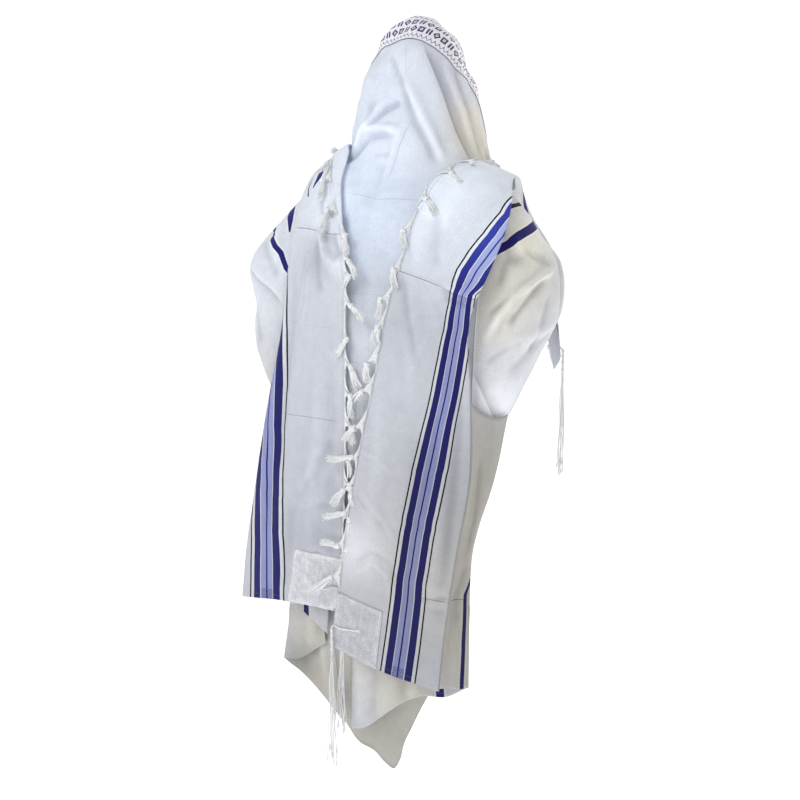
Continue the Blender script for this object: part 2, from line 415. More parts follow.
# ---- curves and surfaces ---------------------------------------------------------------------------
def smooth_through(knots, values, at):
    """Values of a smooth curve that passes through each value at its knot."""
    knots = np.asarray(knots, float)
    values = np.asarray(values, float)
    at = np.asarray(at, float)
    steps = np.diff(knots)
    slopes = np.diff(values, axis=0) / steps.reshape((-1,) + (1,) * (values.ndim - 1))
    tangents = np.empty_like(values)
    tangents[0], tangents[-1] = slopes[0], slopes[-1]
    for i in range(1, len(knots) - 1):
        before, after = steps[i - 1], steps[i]
        tangents[i] = (slopes[i - 1] * after + slopes[i] * before) / (before + after)
    cell = np.clip(np.searchsorted(knots, at, side="right") - 1, 0, len(steps) - 1)
    shape = (-1,) + (1,) * (values.ndim - 1)
    step = steps[cell].reshape(shape)
    t = ((at - knots[cell]) / steps[cell]).reshape(shape)
    return ((2 * t**3 - 3 * t**2 + 1) * values[cell] + (t**3 - 2 * t**2 + t) * step * tangents[cell]
            + (3 * t**2 - 2 * t**3) * values[cell + 1] + (t**3 - t**2) * step * tangents[cell + 1])


def unit(vectors):
    """Vectors of length 1 that point the same ways."""
    return vectors / np.maximum(np.linalg.norm(vectors, axis=-1, keepdims=True), 1e-12)


def along_line(where, travelled, line):
    """Points of a line at given distances, when those of its own points are known."""
    return np.stack([np.interp(where, travelled, line[:, axis]) for axis in (X, Y, Z)], axis=-1)


def lengths_along(points):
    """Distance of each point from the first, along the line of points."""
    spans = np.linalg.norm(np.diff(points, axis=0), axis=1)
    return np.concatenate([[0.0], np.cumsum(spans)])


def evenly(points, count):
    """count + 1 points at equal distances on a smooth curve through the given points."""
    points = np.asarray(points, float)
    rough = smooth_through(lengths_along(points), points, np.linspace(0, lengths_along(points)[-1], 400))
    travelled = lengths_along(rough)
    wanted = np.linspace(0, travelled[-1], count + 1)
    return along_line(wanted, travelled, rough)


def surface(rows, cells):
    """Grid of points on the smooth surface through rows of points: [along][across]."""
    along, across = cells
    rows = np.asarray(rows, float) * MM
    knots = lengths_along(rows[:, rows.shape[1] // 2])
    drawn = smooth_through(knots, rows, np.linspace(0, knots[-1], along + 1))
    return np.array([evenly(row, across) for row in drawn])


def joined_surface(places, rows, cells, start_at, end_at=None):
    """A surface whose first column (and last) is taken from the edges of other stretches."""
    along, across = cells
    rows = np.asarray(rows, float) * MM
    knots = lengths_along(rows[:, rows.shape[1] // 2])
    wanted = np.linspace(0, knots[-1], along + 1)
    drawn = smooth_through(knots, rows, wanted)
    places = smooth_through(knots, np.asarray(places, float) * MM, wanted)
    sections = []
    for place, row in zip(places, drawn):
        ends = [] if end_at is None else [end_at(place[-1])]
        sections.append(evenly([start_at(place[0]), *row, *ends], across))
    return np.array(sections)


def normals(grid):
    """Unit normals of the surface at each point of a grid, turned away from the wearer."""
    out = unit(np.cross(np.gradient(grid, axis=0), np.gradient(grid, axis=1)))
    return out if float(np.sum(out * (grid - INSIDE))) > 0 else -out


def panel_grid():
    """The hood and the back; the shares of its length at its rows come with it."""
    rows = []
    for middle, *side in PANEL_ROWS:
        right = [(-x, y, z) for x, y, z in side]
        rows.append(side[::-1] + [(0, *middle)] + right)
    rows.append(BACK_HEM)
    sections = np.array([evenly(np.array(row) * MM, PANEL_CELLS[1]) for row in rows])
    knots = lengths_along(sections[:, PANEL_CELLS[1] // 2])
    fine = np.linspace(0, HOOD_SHARE, HOOD_ROWS, endpoint=False)
    shares = np.concatenate([fine, np.linspace(HOOD_SHARE, 1, PANEL_CELLS[0] - HOOD_ROWS + 1)])
    grid = smooth_through(knots, sections, shares * knots[-1])
    to_left = np.clip(grid[..., X] / 0.070, 0, 1)
    fuller = np.interp(grid[..., Z] / MM, *np.array(HOOD_LEFT).T) * MM
    grid[..., X] += fuller * to_left * to_left * (3 - 2 * to_left)
    return grid, shares


def seam_beside(panel, column, over, gap=SEAM):
    """Edge column of a stretch of cloth, moved over (1) or under (-1) its wall by a small gap."""
    return panel[:, column] + normals(panel)[:, column] * over * (WALL + gap)


def at_height(edge, height):
    """Point of an edge that runs up or down, at a given height."""
    order = np.argsort(edge[:, Z])
    return along_line(height, edge[order, Z], edge[order])


def behind_shoulder(edge):
    """The stretch of an edge that hangs down the back, from the shoulder to the hem."""
    top = int(np.argmax(edge[:, Z]))
    last = edge[:top + 1]
    return last if last[0, Y] > edge[-1, Y] else edge[top:]


def sleeve_grid(rows, flap, panel, side):
    """The cloth round one arm, between the thrown end in front and the side of the back."""
    outer = seam_beside(flap, -1, -1)
    front = outer[int(np.argmax(outer[:, Z])):]
    back = behind_shoulder(seam_beside(panel, 0 if side == LEFT else -1, 1))
    travelled = lengths_along(front)

    def start_at(share):
        return along_line(share * travelled[-1], travelled, front)

    places = [(row[0], row[-1]) for row in rows]
    points = [row[1:-1] for row in rows]
    return joined_surface(places, points, SLEEVE_CELLS, start_at, lambda height: at_height(back, height))


def fold_grid(rows, edge):
    """A fold that leaves the edge of another stretch of cloth at the heights in its table."""
    places = [(row[0],) for row in rows]
    points = [evenly(np.array(row[1:], float), 10) for row in rows]
    return joined_surface(places, points, FOLD_CELLS, lambda height: at_height(edge, height))


# ---- creases and wrinkles ----------------------------------------------------------------------------
def from_line(points, line):
    """For each point: its distance from a line, the line's share and heading there, and the way to the point."""
    line = np.asarray(line, float) * MM
    travelled = lengths_along(line)
    best = np.full(len(points), 1e9)
    share = np.zeros(len(points))
    heading = np.zeros((len(points), 3))
    away = np.zeros((len(points), 3))
    for k, (first, last) in enumerate(zip(line, line[1:])):
        span = last - first
        size = np.linalg.norm(span)
        t = np.clip((points - first) @ span / size**2, 0, 1)
        gap = points - first - t[:, None] * span
        distance = np.linalg.norm(gap, axis=1)
        near = distance < best
        best[near] = distance[near]
        share[near] = (travelled[k] + t[near] * size) / travelled[-1]
        heading[near] = span / size
        away[near] = gap[near]
    return best, share, heading, away


FADE_SHARE = 0.22             # share of a crease's line over which each end fades
OTHER_LAYER = 16 * MM         # cloth farther above or below a line than this is left alone


# Slight wrinkles, each a product of two waves.  Columns: share of the amount, then for either wave what x, y
# and z in metres, 1 and the piece's own phase count for in its angle.
WRINKLES = (
    (1.00, (46, 0, 9, 1.3, 1), (19, 0, 7, 0, 1)), (0.60, (83, -31, 6, 0, 2.1), (0, 5, 11, 0.7, 0)),
    (0.35, (37, 0, 61, 0.4, 0), (-57, 0, 23, 0, 1.9)), (0.12, (120, 0, 190, 0, 1), (150, 0, -60, 0, 0)),
)


def pressed(grid, creases, wrinkle, phase, shading=0.022):
    """The grid with its creases and slight uneven wrinkles, and facts of its creases at each point."""
    out = normals(grid).reshape(-1, 3)
    points = grid.reshape(-1, 3)
    push, shade = np.zeros(len(points)), np.zeros(len(points))
    nearest = {key: np.full(len(points), 1e9) for key in ("edge", "line")}
    facts = {key: np.full(len(points), 9.0) for key in nearest}
    facts.update({key + "_dark": np.zeros(len(points)) for key in nearest})
    for kind, width, height, reach, *line in creases:
        distance, share, heading, away = from_line(points, line)
        above = np.abs(np.einsum("ij,ij->i", away, out))
        distance = np.sqrt(np.maximum(distance**2 - above**2, 0) + np.maximum(above - OTHER_LAYER, 0)**2)
        ends = np.clip(np.minimum(share, 1 - share) / FADE_SHARE, 0, 1)
        fade = ends * ends * (3 - 2 * ends)
        far = distance / (width * MM)
        side = -np.sign(np.einsum("ij,ij->i", np.cross(heading, away), out))
        if kind == "step":
            push += height * MM * fade * 0.5 * np.tanh(far * side) * np.exp(-(distance / (reach * MM))**2)
            key, unit, dark = "edge", reach * 0.30 * MM, min(abs(height) / 6.0, 1.0)
            side = -side * math.copysign(1, height)
        elif kind == "crease":
            push += height * MM * fade * (np.exp(-far**2) - 0.6 * np.exp(-(far / 2.4)**2))
            key, unit, dark = "line", MM, min(height, 1.2)
        else:
            push += height * MM * fade * np.exp(-far**2)
            if width < 20:
                shade -= min(max(height, -8.0), 8.0) * shading * fade * np.exp(-far**2)
            continue
        near = distance < nearest[key]
        nearest[key][near] = distance[near]
        facts[key][near] = np.clip(distance * side / unit, -9, 9)[near]
        facts[key + "_dark"][near] = (fade * dark)[near]
    terms = np.column_stack([points, np.ones(len(points)), np.full(len(points), phase)])
    for share, first, second in WRINKLES:
        push += wrinkle * share * np.sin(terms @ first) * np.sin(terms @ second)
    push = push.reshape(grid.shape[:2])
    facts = {key: values.reshape(grid.shape[:2]) for key, values in facts.items()}
    facts["fold"] = folded_in(grid, push)
    facts["shade"] = shade.reshape(grid.shape[:2])
    return grid + out.reshape(grid.shape) * push[..., None], facts


def blurred(values, widths):
    """Values on a grid, averaged along each way over the given numbers of points."""
    for axis, width in enumerate(widths):
        kernel = np.hanning(2 * width + 3)[1:-1]
        kernel /= kernel.sum()
        padded = np.pad(values, [(width, width) if k == axis else (0, 0) for k in (0, 1)], mode="edge")
        values = np.apply_along_axis(lambda line: np.convolve(line, kernel, mode="valid"), axis, padded)
    return values


def folded_in(grid, push):
    """From 0 on a ridge to 1 in a deep fold, 0.5 on flat cloth: how far below its surroundings it lies."""
    steps = [np.linalg.norm(np.diff(grid, axis=axis), axis=2).mean() for axis in (0, 1)]
    amount = np.zeros(push.shape)
    for reach, depth in ((0.010, 0.0022), (0.024, 0.0050)):     # how far round it, and how deep counts as 1
        widths = [min(max(int(reach / step), 1), 40) for step in steps]
        amount += (blurred(push, widths) - push) / depth
    return 0.5 + 0.5 * np.tanh(amount)


def rolled(grid, columns=3, radius=0.0022):
    """The grid with its last columns rolled under, as at a soft fold."""
    out = normals(grid)
    turned = grid.copy()
    for k in range(columns):
        angle = (k + 1) / columns * math.pi / 2
        column = -columns + k
        turned[:, column] -= out[:, column] * radius * (1 - math.cos(angle))
    return turned


def blobs(grid, places):
    """Sum of soft round places.  Columns: middle, radius, amount."""
    amount = np.zeros(grid.shape[:2])
    for middle, radius, most in places:
        distance = np.linalg.norm(grid - np.array(middle) * MM, axis=2)
        amount += most * np.exp(-(distance / (radius * MM))**2)
    return amount


def tone_at(grid, name):
    """How grey the cloth is at each point: it lies in less light lower down and under other cloth."""
    low = np.interp(grid[..., Z], TONE_HEIGHTS[0], TONE_HEIGHTS[1])
    return np.clip(low + blobs(grid, TONES.get(name, [])), -0.7, 1)


def inside_marks(grid, marks):
    """How far inside the nearest stripe each point lies, in metres (below 0: outside)."""
    points = grid.reshape(-1, 3)
    depth = np.full(len(points), -0.05)
    for half, *line in marks:
        distance, share, _, _ = from_line(points, line)
        half = np.atleast_1d(half)
        depth = np.maximum(depth, np.interp(share, np.linspace(0, 1, len(half)), half) * MM - distance)
    return depth.reshape(grid.shape[:2])


# ---- meshes -----------------------------------------------------------------------------------------
def new_object(name, points, faces, finish):
    """A smooth mesh object on the body of the part."""
    mesh = bpy.data.meshes.new(name)
    mesh.from_pydata(np.asarray(points).tolist(), [], np.asarray(faces).tolist())
    mesh.polygons.foreach_set("use_smooth", [True] * len(mesh.polygons))
    mesh.materials.append(finish)
    mesh.update()
    made = bpy.data.objects.new(name, mesh)
    bpy.context.scene.collection.objects.link(made)
    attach(made, "root")
    return made


def grid_faces(rows, columns):
    """Quads between the points of a grid, by their places in a flat list."""
    index = np.arange(rows * columns).reshape(rows, columns)
    return np.stack([index[:-1, :-1], index[:-1, 1:], index[1:, 1:], index[1:, :-1]], axis=-1).reshape(-1, 4)


def cloth_piece(name, grid, flat_places, finish, thickness=CLOTH, facts=None):
    """A stretch of cloth with two faces.  flat_places gives each point's (u, v) in the flat cloth."""
    rows, columns = grid.shape[:2]
    out = normals(grid)
    front = (grid + out * (thickness / 2)).reshape(-1, 3)
    back = (grid - out * (thickness / 2)).reshape(-1, 3)
    faces = grid_faces(rows, columns)
    count = rows * columns
    first = np.cross(front[faces[0][1]] - front[faces[0][0]], front[faces[0][2]] - front[faces[0][0]])
    if first @ out.reshape(-1, 3)[faces[0][0]] < 0:
        faces = faces[:, ::-1]
    index = np.arange(count).reshape(rows, columns)
    rim = np.concatenate([index[0, :-1], index[:-1, -1], index[-1, :0:-1], index[:0:-1, 0]])
    sides = np.stack([rim, np.roll(rim, -1), np.roll(rim, -1) + count, rim + count], axis=1)
    middle = front[sides[0][:2]].mean(axis=0)
    across = np.cross(front[sides[0][1]] - front[sides[0][0]], back[rim[0]] - front[sides[0][0]])
    if across @ (middle - front.mean(axis=0)) < 0:
        sides = sides[:, ::-1]
    faces = np.concatenate([faces, faces[:, ::-1] + count, sides])
    made = new_object(name, np.concatenate([front, back]), faces, finish)
    places = np.concatenate([flat_places.reshape(-1, 2)] * 2)
    corners = np.empty(len(made.data.loops), np.int32)
    made.data.loops.foreach_get("vertex_index", corners)
    flat_map = made.data.uv_layers.new(name="cloth")
    flat_map.data.foreach_set("uv", places[corners].astype(np.float32).ravel())
    for key, values in (facts or {}).items():
        layer = made.data.attributes.new(key, "FLOAT", "POINT")
        layer.data.foreach_set("value", np.concatenate([values.ravel()] * 2).astype(np.float32))
    made.data.shade_smooth()
    return made


def flat_lengths(grid):
    """Distances along and across a grid: (from the first row, from the first column)."""
    along = np.cumsum(np.concatenate([np.zeros((1, grid.shape[1])),
                                      np.linalg.norm(np.diff(grid, axis=0), axis=2)]), axis=0)
    across = np.cumsum(np.concatenate([np.zeros((grid.shape[0], 1)),
                                       np.linalg.norm(np.diff(grid, axis=1), axis=2)], axis=1), axis=1)
    return along, across


def flap_places(grid, group):
    """Places in the flat cloth for a thrown end, with the group of stripes where its table says."""
    _, across = flat_lengths(grid)
    along = lengths_along(grid[:, 0])
    table = np.array(group, float) * MM
    inner = np.interp(along, table[:, 0], table[:, 1])[:, None]
    outer = np.interp(along, table[:, 0], table[:, 2])[:, None]
    first, last = GROUP_LINES
    v = np.where(across < inner, across * first / inner,
                 first + (across - inner) * (last - first) / (outer - inner))
    u = np.repeat(along[:, None], grid.shape[1], axis=1)
    return np.stack([u, v], axis=-1)


# ---- materials --------------------------------------------------------------------------------------
class Value:
    """The output of a shader node.  Plain arithmetic on it adds Math nodes."""

    def __init__(self, nodes, socket):
        self.nodes, self.socket = nodes, socket

    def __add__(self, other):
        return self.nodes.math("ADD", self, other)

    def __sub__(self, other):
        return self.nodes.math("SUBTRACT", self, other)

    def __rsub__(self, other):
        return self.nodes.math("SUBTRACT", other, self)

    def __mul__(self, other):
        return self.nodes.math("MULTIPLY", self, other)

    def __gt__(self, other):
        return self.nodes.math("GREATER_THAN", self, other)

    def __lt__(self, other):
        return self.nodes.math("LESS_THAN", self, other)

    def __abs__(self):
        return self.nodes.math("ABSOLUTE", self)


class Nodes:
    """Short ways to add shader nodes to one material or world."""

    def __init__(self, owner):
        owner.use_nodes = True
        self.owner, self.tree = owner, owner.node_tree

    def feed(self, socket, value):
        """Link a socket to a Value, or set it to a number or colour."""
        if isinstance(value, Value):
            self.tree.links.new(value.socket, socket)
        else:
            socket.default_value = (*value, 1.0) if socket.type == "RGBA" else value

    def add(self, kind, inputs=(), output=0, **settings):
        """A new node's output.  inputs gives values by the names or places of its sockets."""
        node = self.tree.nodes.new("ShaderNode" + kind)
        for key, value in settings.items():
            setattr(node, key, value)
        for place, value in dict(inputs).items():
            self.feed(node.inputs[place], value)
        return Value(self, node.outputs[output])

    def math(self, operation, *values):
        return self.add("Math", enumerate(values), operation=operation)

    def mix(self, share, first, second, blend="MIX"):
        return self.add("Mix", {0: share, 6: first, 7: second}, 2, data_type="RGBA", blend_type=blend)

    def times(self, base, share, colour):
        """The colour multiplied by another, by a share."""
        return self.mix(share, base, colour, "MULTIPLY")

    def noise(self, scale, detail=3.0, rough=0.5, stretch=(1, 1, 1)):
        places = self.add("Mapping", {"Vector": self.add("TexCoord", output="Object"), "Scale": stretch})
        return self.add("TexNoise", {"Scale": scale, "Detail": detail, "Roughness": rough, "Vector": places}, "Fac")

    def step(self, value, low, high):
        """Smooth rise from 0 to 1 as the value goes from low to high."""
        limits = {"Value": value, "From Min": low, "From Max": high}
        return self.add("MapRange", limits, interpolation_type="SMOOTHSTEP")

    def flat_places(self):
        """Place in the flat cloth: u along the fringed edge and v across from it."""
        places = self.add("UVMap", uv_map="cloth")
        return [self.add("SeparateXYZ", {0: places}, axis) for axis in (X, Y)]

    def fact(self, name):
        """A number that the points of the mesh carry."""
        return self.add("Attribute", output="Fac", attribute_name=name)

    def wave(self, value, period):
        """A sine of the given period, from -1 to 1."""
        return self.math("SINE", value * (2 * math.pi / period))

    def between(self, value, low, high):
        """1 where the value lies between two limits, else 0."""
        return (value > low) * (value < high)

    def ramp(self, value, stops, kind="CONSTANT"):
        """Colours along a value, from pairs of place and colour."""
        node = self.tree.nodes.new("ShaderNodeValToRGB")
        node.color_ramp.interpolation = kind
        elements = node.color_ramp.elements
        while len(elements) > 1:
            elements.remove(elements[-1])
        elements[0].position = stops[0][0]
        for k, (place, colour) in enumerate(stops):
            (elements.new(place) if k else elements[0]).color = (*colour, 1)
        self.feed(node.inputs[0], value)
        return Value(self, node.outputs[0])

    def bumps(self, *layers):
        """A normal from layers of bump.  Columns: height, strength, distance."""
        under = {}
        for height, strength, distance in layers:
            made = self.add("Bump", {"Strength": strength, "Distance": distance, "Height": height, **under})
            under = {"Normal": made}
        return under["Normal"]

    def finish(self, colour, roughness, normal, sheen):
        shader = self.tree.nodes["Principled BSDF"]
        for name, value in (("Base Color", colour), ("Roughness", roughness), ("Normal", normal),
                            ("Sheen Weight", sheen), ("Sheen Roughness", 0.45), ("Sheen Tint", (1, 1, 1)),
                            ("Specular IOR Level", 0.25)):
            self.feed(shader.inputs[name], value)
        return self.owner


def cloth_finish():
    """White wool with woven stripes, a stitched hem, a drawn-thread line and a plain weave."""
    n = Nodes(bpy.data.materials.new("tallit_cloth"))
    u, v = n.flat_places()
    across = v * (1 / (BAND_REACH * MM))
    base, lit = [n.ramp(across, [(start / BAND_REACH, colours[name]) for start, name in BANDS])
                 for colours in (COLOURS, LIT_COLOURS)]
    base = n.mix(n.fact("lit"), base, lit)
    light = n.between(v, 0.1445, 0.1545) + n.between(v, 0.1575, 0.1675)
    fine, coarse = [n.wave(u, period) * n.wave(v, period) for period in (0.0022, 0.0050)]
    hem = n.fact("hem")
    checks = n.math("MAXIMUM", (fine > 0.1) * 0.30, (coarse > 0.0) * (hem < 0.019) * 0.75)
    base = n.mix(light * checks, base, COLOURS["navy"])
    mark = n.fact("mark")
    base = n.mix(n.between(mark, -0.0036, 0.0) * 0.8, base, COLOURS["white"])
    base = n.mix(mark > 0.0, base, COLOURS["navy"])
    base = n.mix(n.fact("thin") > 0.0, base, COLOURS["line"])

    cloud = n.noise(5.0, 2.0, 0.5)
    ribs = n.wave(v, 0.0084)
    shade = cloud * 0.05 + n.noise(26.0, 3.0, 0.6, (1, 1, 0.06)) * 0.035 + ribs * 0.006 + 0.945
    for scale, detail, rough in ((48.0, 3.0, 0.6), (330.0, 1.0, 0.5)):
        shade = shade + (n.noise(scale, detail, rough) - 0.5) * 0.20
    base = n.times(base, 1.0, n.add("CombineColor", {0: shade, 1: shade, 2: shade}))

    # Grey, bright, creamy and bluish places, and deep and high ones.
    tone, tint, fold = n.fact("tone"), n.fact("tint"), n.fact("fold")
    for share, colour in ((tone, (0.46, 0.46, 0.47)), (tone * -1.0, (1.42, 1.42, 1.38)),
                          (tint, (1.00, 0.930, 0.775)), (tint * -1.0, (0.93, 1.00, 1.09)),
                          ((fold * 2.0 - 1.0) * 0.60, (0.72, 0.72, 0.75)),
                          ((1.0 - fold * 2.0) * 0.30, (1.16, 1.16, 1.15))):
        base = n.times(base, n.math("MAXIMUM", share, 0.0), colour)

    # The shadow under a step, its bright lip, and the dark core of a pressed crease.
    edge, dark = n.fact("edge"), n.fact("edge_dark")
    onset = n.step(edge, -0.05, 0.05)
    shadow = onset * n.math("EXPONENT", n.math("MAXIMUM", edge, 0.0) * -1.0) * dark
    base = n.times(base, shadow, (0.60, 0.57, 0.58))
    lip = (1.0 - onset) * n.math("EXPONENT", n.math("MINIMUM", edge, 0.0) * 3.0) * dark
    base = n.times(base, lip * 0.60, (1.16, 1.16, 1.16))
    line, dark = n.fact("line"), n.fact("line_dark")
    core = (1.0 - n.step(abs(line), 0.45, 1.30)) * dark
    base = n.times(base, core * 0.85, (0.52, 0.51, 0.53))
    base = n.times(base, n.between(line, 1.2, 3.0) * dark * 0.50, (1.16, 1.16, 1.16))

    seam = n.between(n.fact("outer"), 0.0008, 0.0030) * (u < 0.62)
    base = n.mix(seam * ((n.wave(u, 0.0042) > -0.3) * 0.35 + 0.35), base, (0.26, 0.26, 0.27))
    drawn = n.between(v, 0.0047, 0.0066) * (n.wave(u, 0.0034) > -0.25)
    base = n.mix(drawn * 0.42, base, (0.30, 0.30, 0.32))
    stitch = n.between(hem, 0.0078, 0.0088) * (n.wave(v, 0.0032) > -0.2)
    base = n.mix(stitch * 0.22, base, (0.45, 0.45, 0.48))

    normal = n.bumps(
        (n.wave(u, 0.0011) + n.wave(v, 0.0011), 0.10, 0.0002), (ribs, 0.10, 0.0004),
        (n.noise(70.0, 3.0, 0.55), 0.22, 0.0015), (n.noise(16.0, 2.0, 0.5, (1, 1, 0.35)), 0.32, 0.005),
        (n.noise(9.0, 3.0, 0.6, (1, 1, 0.6)), 0.30, 0.008), ((hem < 0.0083) - stitch * 0.8, 0.5, 0.0006),
        (core * -1.0, 0.6, 0.0008))
    return n.finish(base, cloud * 0.10 + 0.80, normal, 0.12)


def band_finish():
    """Neckband: pale woven cloth with two rows of geometric motifs between zigzag borders."""
    n = Nodes(bpy.data.materials.new("tallit_neckband"))
    u, v = n.flat_places()
    motifs, borders = [], []
    for row, (middle, shift) in enumerate(((0.0295, 0.0), (0.0550, 0.5))):
        cell = u * (1 / MOTIF_PITCH) + (40 + shift)
        index = n.math("FLOOR", cell)
        x, y = abs((cell - index - 0.5) * MOTIF_PITCH), abs(v - middle) * 0.66
        diamond, square = x + y, n.math("MAXIMUM", x, y)
        rings = n.between(diamond, 0.0032, 0.0072) + (diamond < 0.0015)
        steps = n.between(square, 0.0024, 0.0056) + (diamond < 0.0013)
        bars = n.between(x, 0.0010, 0.0046) * (y < 0.0058)
        third = n.math("MODULO", index + row, 3.0)
        motifs.append(rings * (third < 0.5) + steps * n.between(third, 0.5, 1.5) + bars * (third > 1.5))
    for middle, height in ((0.0095, 1.7), (0.0745, 1.5)):
        saw = n.math("PINGPONG", u, ZIGZAG_PITCH)
        zigzag = abs(v - (middle - 0.0035) - saw * height) < 0.0015
        stems = (abs(saw - ZIGZAG_PITCH) < 0.0008) * n.between(v, middle, middle + 0.0070)
        borders.append(n.math("MAXIMUM", zigzag, stems))
    motif, border = n.math("MAXIMUM", *motifs), n.math("MAXIMUM", *borders)
    edge = v > 0.0855
    thread = n.noise(320.0, 2.0, 0.5)
    colour = n.mix(n.noise(9.0), (0.92, 0.905, 0.965), (0.96, 0.95, 0.99))
    for share, ink in ((motif * (thread * 0.2 + 0.86), (0.026, 0.020, 0.14)),
                       (border * (thread * 0.3 + 0.62), (0.10, 0.08, 0.20)),
                       ((v < 0.0014) * 0.80, (0.10, 0.10, 0.16)),
                       (n.between(v, 0.0855, 0.0872) * 0.25, (0.40, 0.38, 0.46)),
                       (edge * 0.30, (0.90, 0.89, 0.92))):
        colour = n.mix(share, colour, ink)
    normal = n.bumps((n.wave(u, 0.0009) + n.wave(v, 0.0009), 0.12, 0.0002), (motif + border * 0.6, 0.30, 0.0003),
                     (1.0 - edge, 0.5, 0.0006))
    return n.finish(colour, thread * 0.12 + 0.48, normal, 0.15)


def patch_finish():
    """Corner patch: white satin with a white stitched trellis and a stitched border."""
    n = Nodes(bpy.data.materials.new("tallit_patch"))
    u, v = n.flat_places()
    a, b = n.math("PINGPONG", u, TRELLIS_PITCH), n.math("PINGPONG", v, TRELLIS_PITCH)
    trellis = n.math("MAXIMUM", abs(a - b) < 0.0007, abs(a + b - TRELLIS_PITCH) < 0.0007)
    buds = abs(a - TRELLIS_PITCH / 2) + abs(b - TRELLIS_PITCH) < 0.0011
    motif = n.math("MAXIMUM", trellis, buds) * (n.noise(60.0, 2.0, 0.6) * 1.1 + 0.25)
    rim, hole = n.fact("rim"), n.fact("hole")
    border = n.between(rim, 0.0022, 0.0032) * (n.wave(u + v, 0.0028) > -0.3)
    inner = n.between(rim, 0.0062, 0.0072) * 0.8
    shown = n.math("MAXIMUM", motif * (rim > 0.0085), n.math("MAXIMUM", border, inner))
    mottle = n.noise(75.0, 4.0, 0.7)
    ground = n.ramp(mottle, [(0.30, (0.62, 0.62, 0.67)), (0.48, (0.74, 0.75, 0.79)), (0.66, (0.88, 0.88, 0.92))],
                    "LINEAR")
    colour = n.mix(shown * 0.72, ground, (0.36, 0.36, 0.40))
    colour = n.times(colour, n.fact("tone"), (0.50, 0.50, 0.51))
    eyelet = n.between(hole, 0.0015, 0.0034)
    colour = n.mix(eyelet * 0.5, colour, (0.90, 0.90, 0.92))
    colour = n.mix(hole < 0.0015, colour, (0.03, 0.03, 0.035))
    normal = n.bumps((n.noise(38.0, 3.0, 0.6), 0.55, 0.0022), (mottle, 0.40, 0.0008),
                     (shown + eyelet * 1.5, 0.6, 0.0005), (n.wave(v, 0.0007), 0.10, 0.0001))
    return n.finish(colour, n.noise(90.0) * 0.15 + 0.36, normal, 0.10)


def thread_finish():
    """Twisted white wool of the fringe and the tassels."""
    n = Nodes(bpy.data.materials.new("tallit_thread"))
    spots = n.noise(60.0, 2.0, 0.5)
    colour = n.mix(spots, (0.86, 0.87, 0.88), (0.94, 0.95, 0.96))
    return n.finish(colour, spots * 0.1 + 0.82, n.bumps((n.noise(900.0, 2.0, 0.6), 0.5, 0.0004)), 0.45)


# ---- threads ------------------------------------------------------------------------------------------
TUBE_SIDES = 4


def ways_across(path, guide):
    """Two ways square to a path at each of its points, the first also square to the guide."""
    along = unit(np.gradient(path, axis=0))
    across = unit(np.cross(along, guide))
    return across, np.cross(along, across)


class Threads:
    """Many thin tubes gathered in one mesh."""

    def __init__(self):
        self.points, self.faces = [], []

    def tube(self, path, radii, turn=0.0):
        """A tube along a path; radii has one radius, or one for each point."""
        path = np.asarray(path, float)
        radii = np.broadcast_to(radii, len(path))
        across, other = ways_across(path, (0.31, 0.87, 0.38))
        start = sum(len(p) for p in self.points)
        rings = []
        for k in range(TUBE_SIDES):
            angle = turn + 2 * math.pi * k / TUBE_SIDES
            rings.append(path + (across * math.cos(angle) + other * math.sin(angle)) * radii[:, None])
        self.points.append(np.stack(rings, axis=1).reshape(-1, 3))
        index = start + np.arange(len(path) * TUBE_SIDES).reshape(len(path), TUBE_SIDES)
        following = np.roll(index, -1, axis=1)
        self.faces.append(np.stack([index[:-1], following[:-1], following[1:], index[1:]], axis=-1).reshape(-1, 4))
        self.faces += [index[:1, ::-1], index[-1:]]

    def coil(self, path, radius, turns, thickness, phase=0.0):
        """A thread wound round a path."""
        path = np.asarray(path, float)
        steps = max(int(turns * 9), 6)
        share = np.linspace(0, 1, steps + 1)
        travelled = lengths_along(path) / lengths_along(path)[-1]
        core = along_line(share, travelled, path)
        across, other = ways_across(core, (0.2, 0.9, 0.4))
        angle = (phase + share * turns * 2 * math.pi)[:, None]
        self.tube(core + (across * np.cos(angle) + other * np.sin(angle)) * radius, thickness)

    def object(self, name, finish):
        return new_object(name, np.concatenate(self.points), np.concatenate(self.faces), finish)


def uneven(limits, phase):
    """A number between two limits that looks irregular as its phase steps on."""
    low, high = limits
    return low + (high - low) * math.sin(phase) ** 2


